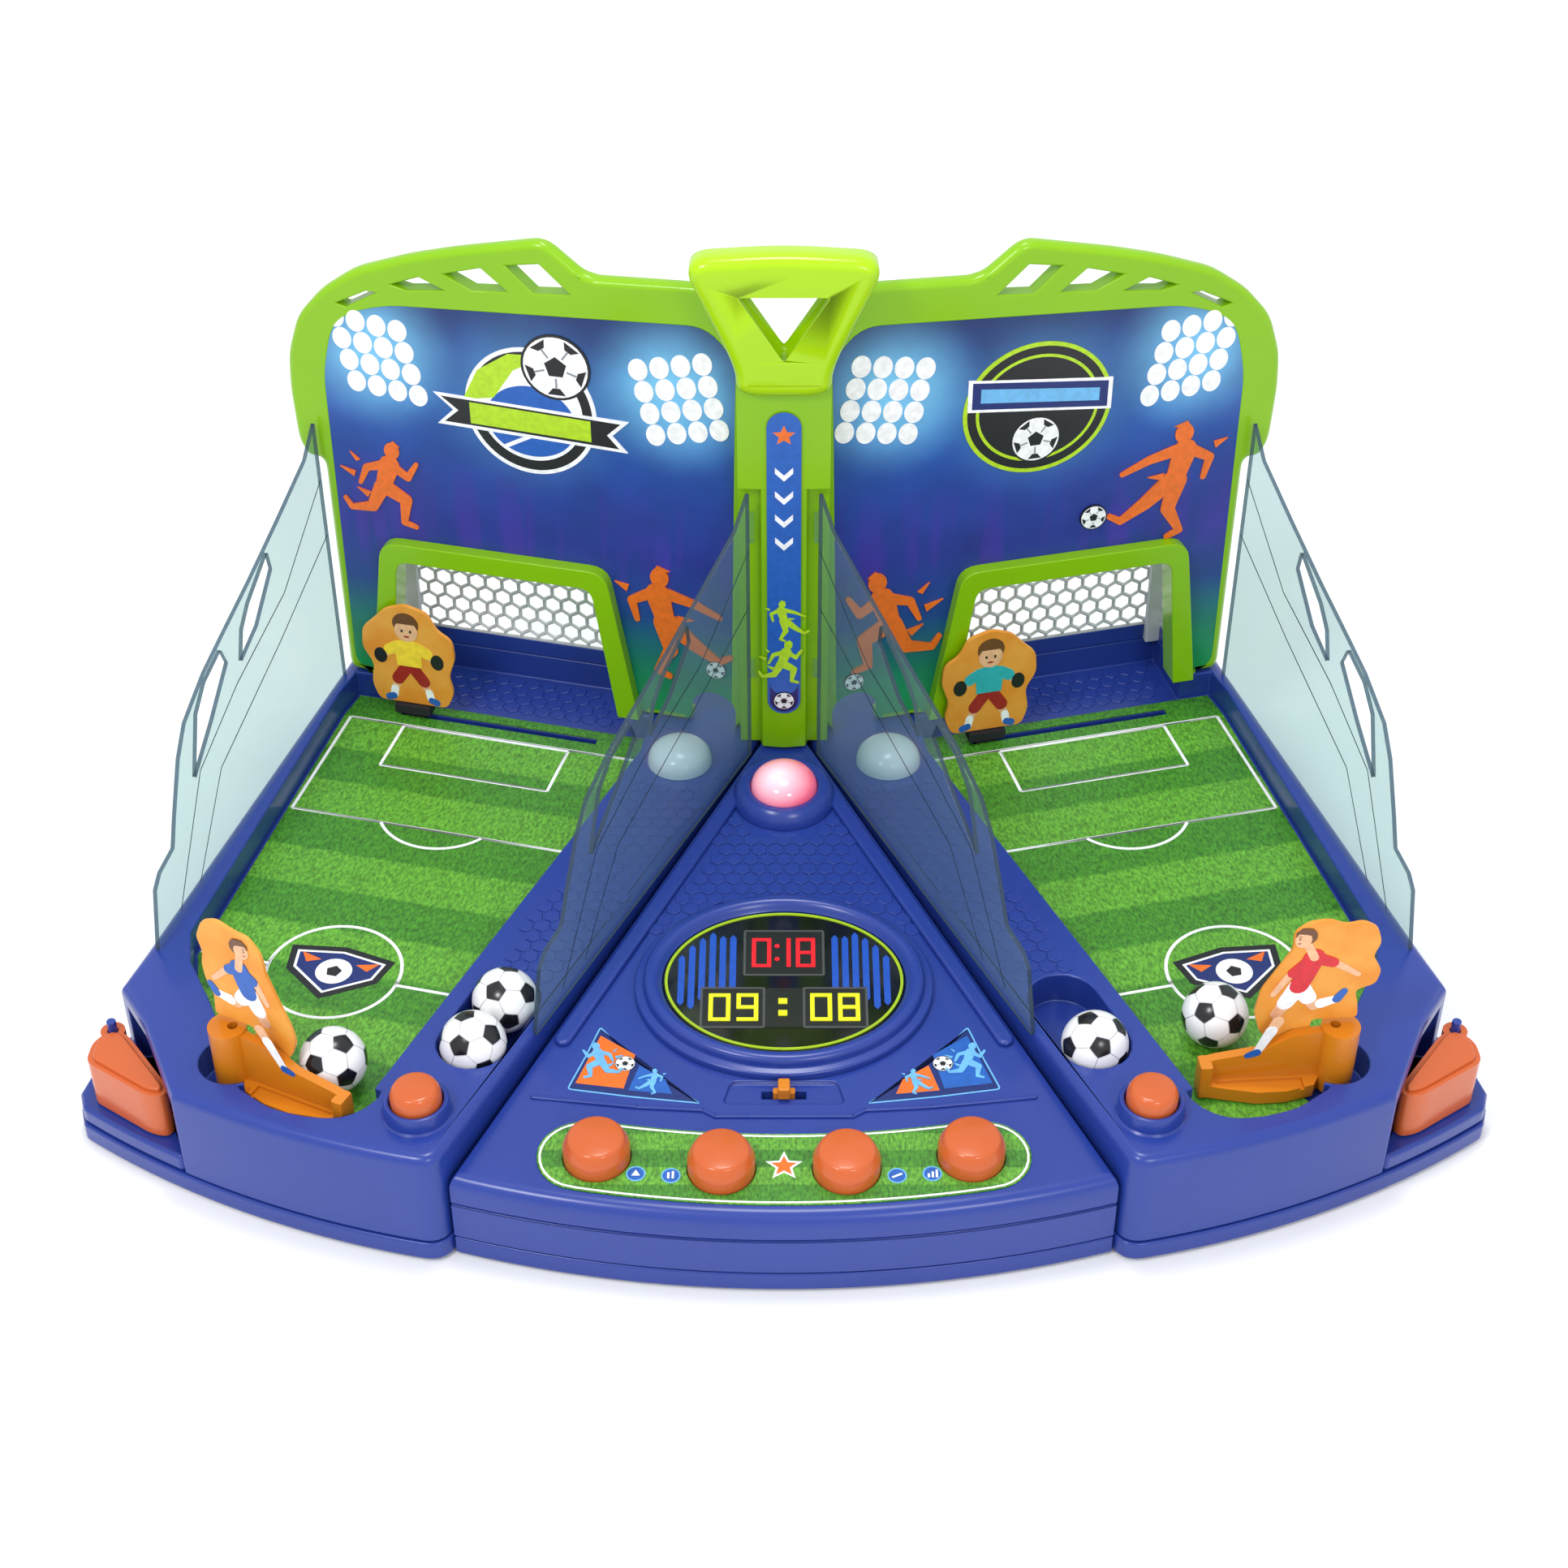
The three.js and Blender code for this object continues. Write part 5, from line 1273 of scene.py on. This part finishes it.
LIT = {key: glowing(f"display_light_{key}", code, power) for key, code, power in (
    ("red", "#D81424", 0.7), ("yellow", "#C8C81C", 0.7), ("blue", "#1848A8", 0.5), ("rim", "#98B81C", 0.4),
    ("frame", "#4E4E50", 0.1), ("dark", "#1C1C1E", 0.0))}
SEGMENTS = {"a": ((0, 1), (1, 1)), "b": ((1, 1), (1, 0.5)), "c": ((1, 0.5), (1, 0)), "d": ((0, 0), (1, 0)),
            "e": ((0, 0.5), (0, 0)), "f": ((0, 1), (0, 0.5)), "g": ((0, 0.5), (1, 0.5))}
DIGITS = {"0": "abcdef", "1": "bc", "8": "abcdefg", "9": "abcdfg"}


def digit(symbol, x, y, width, height, thick):
    """The lit strips of one figure."""
    strips = []
    for key in DIGITS[symbol]:
        (u0, v0), (u1, v1) = SEGMENTS[key]
        a, b = Vector((x + u0 * width, y + v0 * height)), Vector((x + u1 * width, y + v1 * height))
        along = (b - a).normalized() * thick * 0.42
        strips.append(strip(a - along, b + along, thick))
    return strips


display = []
for k in range(-10, 11):
    x = k * 4.4
    reach = 38 * math.sqrt(max(0, 1 - (x / 48) ** 2))
    top = SCREEN_Y + min(reach, 30 + 4 * math.cos(k * 1.7))
    low = SCREEN_Y - min(reach, 12 - 6 * math.cos(k))
    if abs(k) < 5:
        low = SCREEN_Y + 28
    if top - low > 6:
        display.append(("blue",
                        [(x - 1.4, low + 2), (x, low), (x + 1.4, low + 2), (x + 1.4, top - 2), (x, top),
                                 (x - 1.4, top - 2)]))
display += [("dark", [(-17, 131), (17, 131), (17, 158), (-17, 158)]),
            ("dark", [(-35, 100), (35, 100), (35, 123), (-35, 123)])]
display += [("frame", o) for o in frame_lines((-17, 131), (17, 158), 1.0)
            + frame_lines((-35, 100), (-8.5, 123), 1.0) + frame_lines((8.5, 100), (35, 123), 1.0)]
for symbol, x in (("0", -13), ("1", -4.6), ("8", 6)):
    display += [("red", o) for o in digit(symbol, x, 136.5, 6.6, 16, 1.8)]
display += [("red", oval(-3, y, 1.1, 1.1, 16)) for y in (140.5, 148.5)]
for symbol, x in (("0", -31), ("9", -19.2), ("0", 12), ("8", 23.8)):
    display += [("yellow", o) for o in digit(symbol, x, 104.4, 7.4, 14.2, 1.9)]
display += [("yellow", o) for y in (108, 115)
            for o in [[(-2.4, y - 1.5), (1.4, y - 1.5), (1.4, y + 1.5), (-2.4, y + 1.5)]]]
printed("screen_digits", on_slope @ Matrix.Translation((0, 0, 4)), display, "base", "display_window", LIT,
        0.01)
rim = lofted([(31.4, 4.0), (31.4, 4.5), (30.2, 4.5), (30.2, 4.0)], 19.6, 9.8, (0, SCREEN_Y), 96, True)
make_piece("screen_rim_line", rim, on_slope, [LIT["rim"]], "base", "display_window")
for sign in (-1, 1):
    edge = [(-77.5, 104.5), (-83, 87), (-89.5, 68.5), (-62, 64), (-33.8, 60.5), (-43, 68.5), (-54, 77.5),
            (-65, 88.5)]
    side_ink, other_ink = ("orange", "blue") if sign < 0 else ("blue", "orange")
    edge = rounded([(x * -sign, y) for x, y in edge][::-sign], 2.0, 3)
    layers = [("sky", edge), ("navy", inset(edge, 0.7)),
              (side_ink, [(x * -sign, y) for x, y in [(-77, 99), (-86, 72), (-66, 69), (-62, 88)]]),
              (other_ink, [(x * -sign, y) for x, y in [(-60, 82), (-64, 68), (-46, 66), (-49, 74)]])]
    layers += ball_print(66 * sign, 83, 4.0)
    layers += [("sky", o) for o in place_all(RUNNER, 77 * sign, 73, 0.42, sign)
               + place_all(SHOOTER, 54 * sign, 66, 0.26, sign)]
    printed(f"console_sticker_{'left' if sign < 0 else 'right'}",
            on_slope @ Matrix.Translation((0, 0, 0.02)), layers, "base", "grass_print")

# ---- Lamps and serve buttons ----
# A translucent pink dome in a flared blue ring lights up on a goal; a frosted dome stands behind each
# inner guard. A round serve button with a raised collar is set in each wing beside the ball pockets.
# Polycarbonate lens, tinted pink, softly lit from inside. It turns pale near a point high on its front-left,
# a painted highlight.
pink_lens, surface = start_material("polycarbonate_pink_lens_painted_highlight")
position = add_node(pink_lens, "TexCoord").outputs["Object"]
highlight_centre = layout @ Vector((-3, LAMP_Y - 4, CONSOLE_FRONT_Z + LAMP_Y * CONSOLE_SLOPE + 14))
offset = add_node(pink_lens, "VectorMath", {0: position, 1: tuple(highlight_centre)}, operation="DISTANCE")
near = add_node(pink_lens, "MapRange", {"Value": offset.outputs["Value"], "From Max": 16 * MM})
tone = add_node(pink_lens, "ValToRGB", {"Fac": near.outputs["Result"]})
# Pale pink at the highlight centre, the lens's own deeper pink further out: the pale part is a painted
# highlight, in colour and glow alike.
tone.color_ramp.elements[0].color = srgb("#FFE2EA")
tone.color_ramp.elements[1].color = srgb("#E8607C")
for socket in ("Base Color", "Emission Color"):
    pink_lens.node_tree.links.new(tone.outputs["Color"], surface.inputs[socket])
surface.inputs["Emission Strength"].default_value = 0.35
surface.inputs["Roughness"].default_value = 0.15
surface.inputs["Coat Weight"].default_value = 0.5
# Polypropylene lens, frosted.
frosted = moulded_plastic("polypropylene_frosted_lens", "#C8D2DC", 0.25, 1.49, mottle=0.02)
lamp_ring = [(15.6, 0.3), (24, 0.3), (24, 1.2), (22.6, 4.6), (21, 7.0), (19.6, 8), (17.2, 8), (15.8, 7.4),
             (15.6, 7)]
make_piece("lamp_flared_ring", lofted(lamp_ring, at=(0, LAMP_Y), closed=True), on_slope, [blue_abs], "base",
           "blue_abs", "lamp_ring")
dome = [(0, -5), (13.4, -5), (13.4, 0), (15.2, 0.5), (15.2, 8), (14.6, 10.2), (13.2, 12.4), (11, 14.3),
        (8, 15.7), (4.5, 16.7), (0, 17)]
make_piece("lamp_lens", lofted(dome, at=(0, LAMP_Y)), on_slope, [pink_lens], "base", "pink_lens",
           "lamp_dome")
low_dome = [(0, -4), (11.4, -4), (11.4, 0.3), (15.2, 0.3), (15, 2.5), (14, 5.5), (12.4, 7.6), (10.2, 9.2),
            (7, 10.6), (3.5, 11.4), (0, 11.6)]
collar = [(11, 0), (14.6, 0), (13.7, 0.8), (13.3, 6), (12.9, 7.2), (12.2, 7.5), (11.4, 7.3), (11, 6.8)]
serve = [(0, -9), (8, -9), (8, -5), (10.4, -5), (10.4, 9.8), (10, 11.4), (8.9, 13.4), (8.2, 13.9),
         (7, 14.1), (0, 14.6)]
for side, mirror in SIDES.items():
    up = mirror @ Matrix.Translation((0, 0, DECK_TOP))
    make_piece(f"side_lamp_{side}", lofted(low_dome, at=PLAYER_LAMP), up, [frosted], "base", "frosted_lens",
               f"player_lamp_{side}")
    make_piece(f"serve_collar_{side}", lofted(collar, at=WING_BUTTON, closed=True), up, [blue_abs], "base",
               "blue_abs")
    make_piece(f"serve_button_{side}", lofted(serve, at=WING_BUTTON), up, [red_abs], f"wing_button_{side}",
               "red_orange_abs", f"wing_button_{side}")

# ---- Balls ----
# Small hollow footballs, moulded in glossy white polypropylene and printed with twelve dark patches.
# They lie loose: one at each kicker, and the spare ones in the pockets of the wings.
# Polypropylene, glossy, then the printed patches and the seams.
ball_white = moulded_plastic("polypropylene_white_moulded", "#EFEFEF", 0.22, 1.49, mottle=0.02, peel_mm=0.6)
ball_black = printed_card("ink_black_on_ball", "#131316", "#1C1C20", 0.22, 6.0)
ball_seam = printed_card("ink_grey_seam", "#BABABE", "#C6C6CA", 0.4, 4.0)


def football():
    """A sphere split into twelve pentagons and twenty hexagons with sunk seams."""
    shape = bmesh.new()
    bmesh.ops.create_icosphere(shape, subdivisions=1, radius=BALL_R)
    bmesh.ops.bevel(shape, geom=shape.verts, offset=33.33, offset_type="PERCENT", affect="VERTICES",
                    segments=1)
    dark = {face for face in shape.faces if len(face.verts) == 5}
    for face in dark:
        face.material_index = 1
    seams = bmesh.ops.inset_individual(shape, faces=shape.faces[:], thickness=0.2)["faces"]
    for face in seams:
        face.material_index = 2
    low = {vert for face in seams for vert in face.verts if len(vert.link_faces) > 4}
    bmesh.ops.poke(shape, faces=[face for face in shape.faces if len(face.verts) > 4])
    bmesh.ops.subdivide_edges(shape, edges=shape.edges[:], cuts=3, use_grid_fill=True)
    for vert in shape.verts:
        vert.co = vert.co.normalized() * (BALL_R - (0.22 if all(f.material_index == 2
                                                                for f in vert.link_faces) else 0))
    mesh = bpy.data.meshes.new("part")
    shape.to_mesh(mesh)
    shape.free()
    return mesh


for number, name in enumerate(("kick_ball_left", "kick_ball_right", "spare_ball_left_front",
                               "spare_ball_left_back", "spare_ball_right")):
    low, high = (layout.inverted() @ Vector(corner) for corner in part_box(name))
    turn = Matrix.Rotation(0.5 + 1.1 * number, 4, (0.5 - 0.3 * number, 0.8, 0.35))
    make_piece(f"{name}_shell", football(), Matrix.Translation((low + high) / 2) @ turn,
               [ball_white, ball_black, ball_seam], name, "ball_white", name)
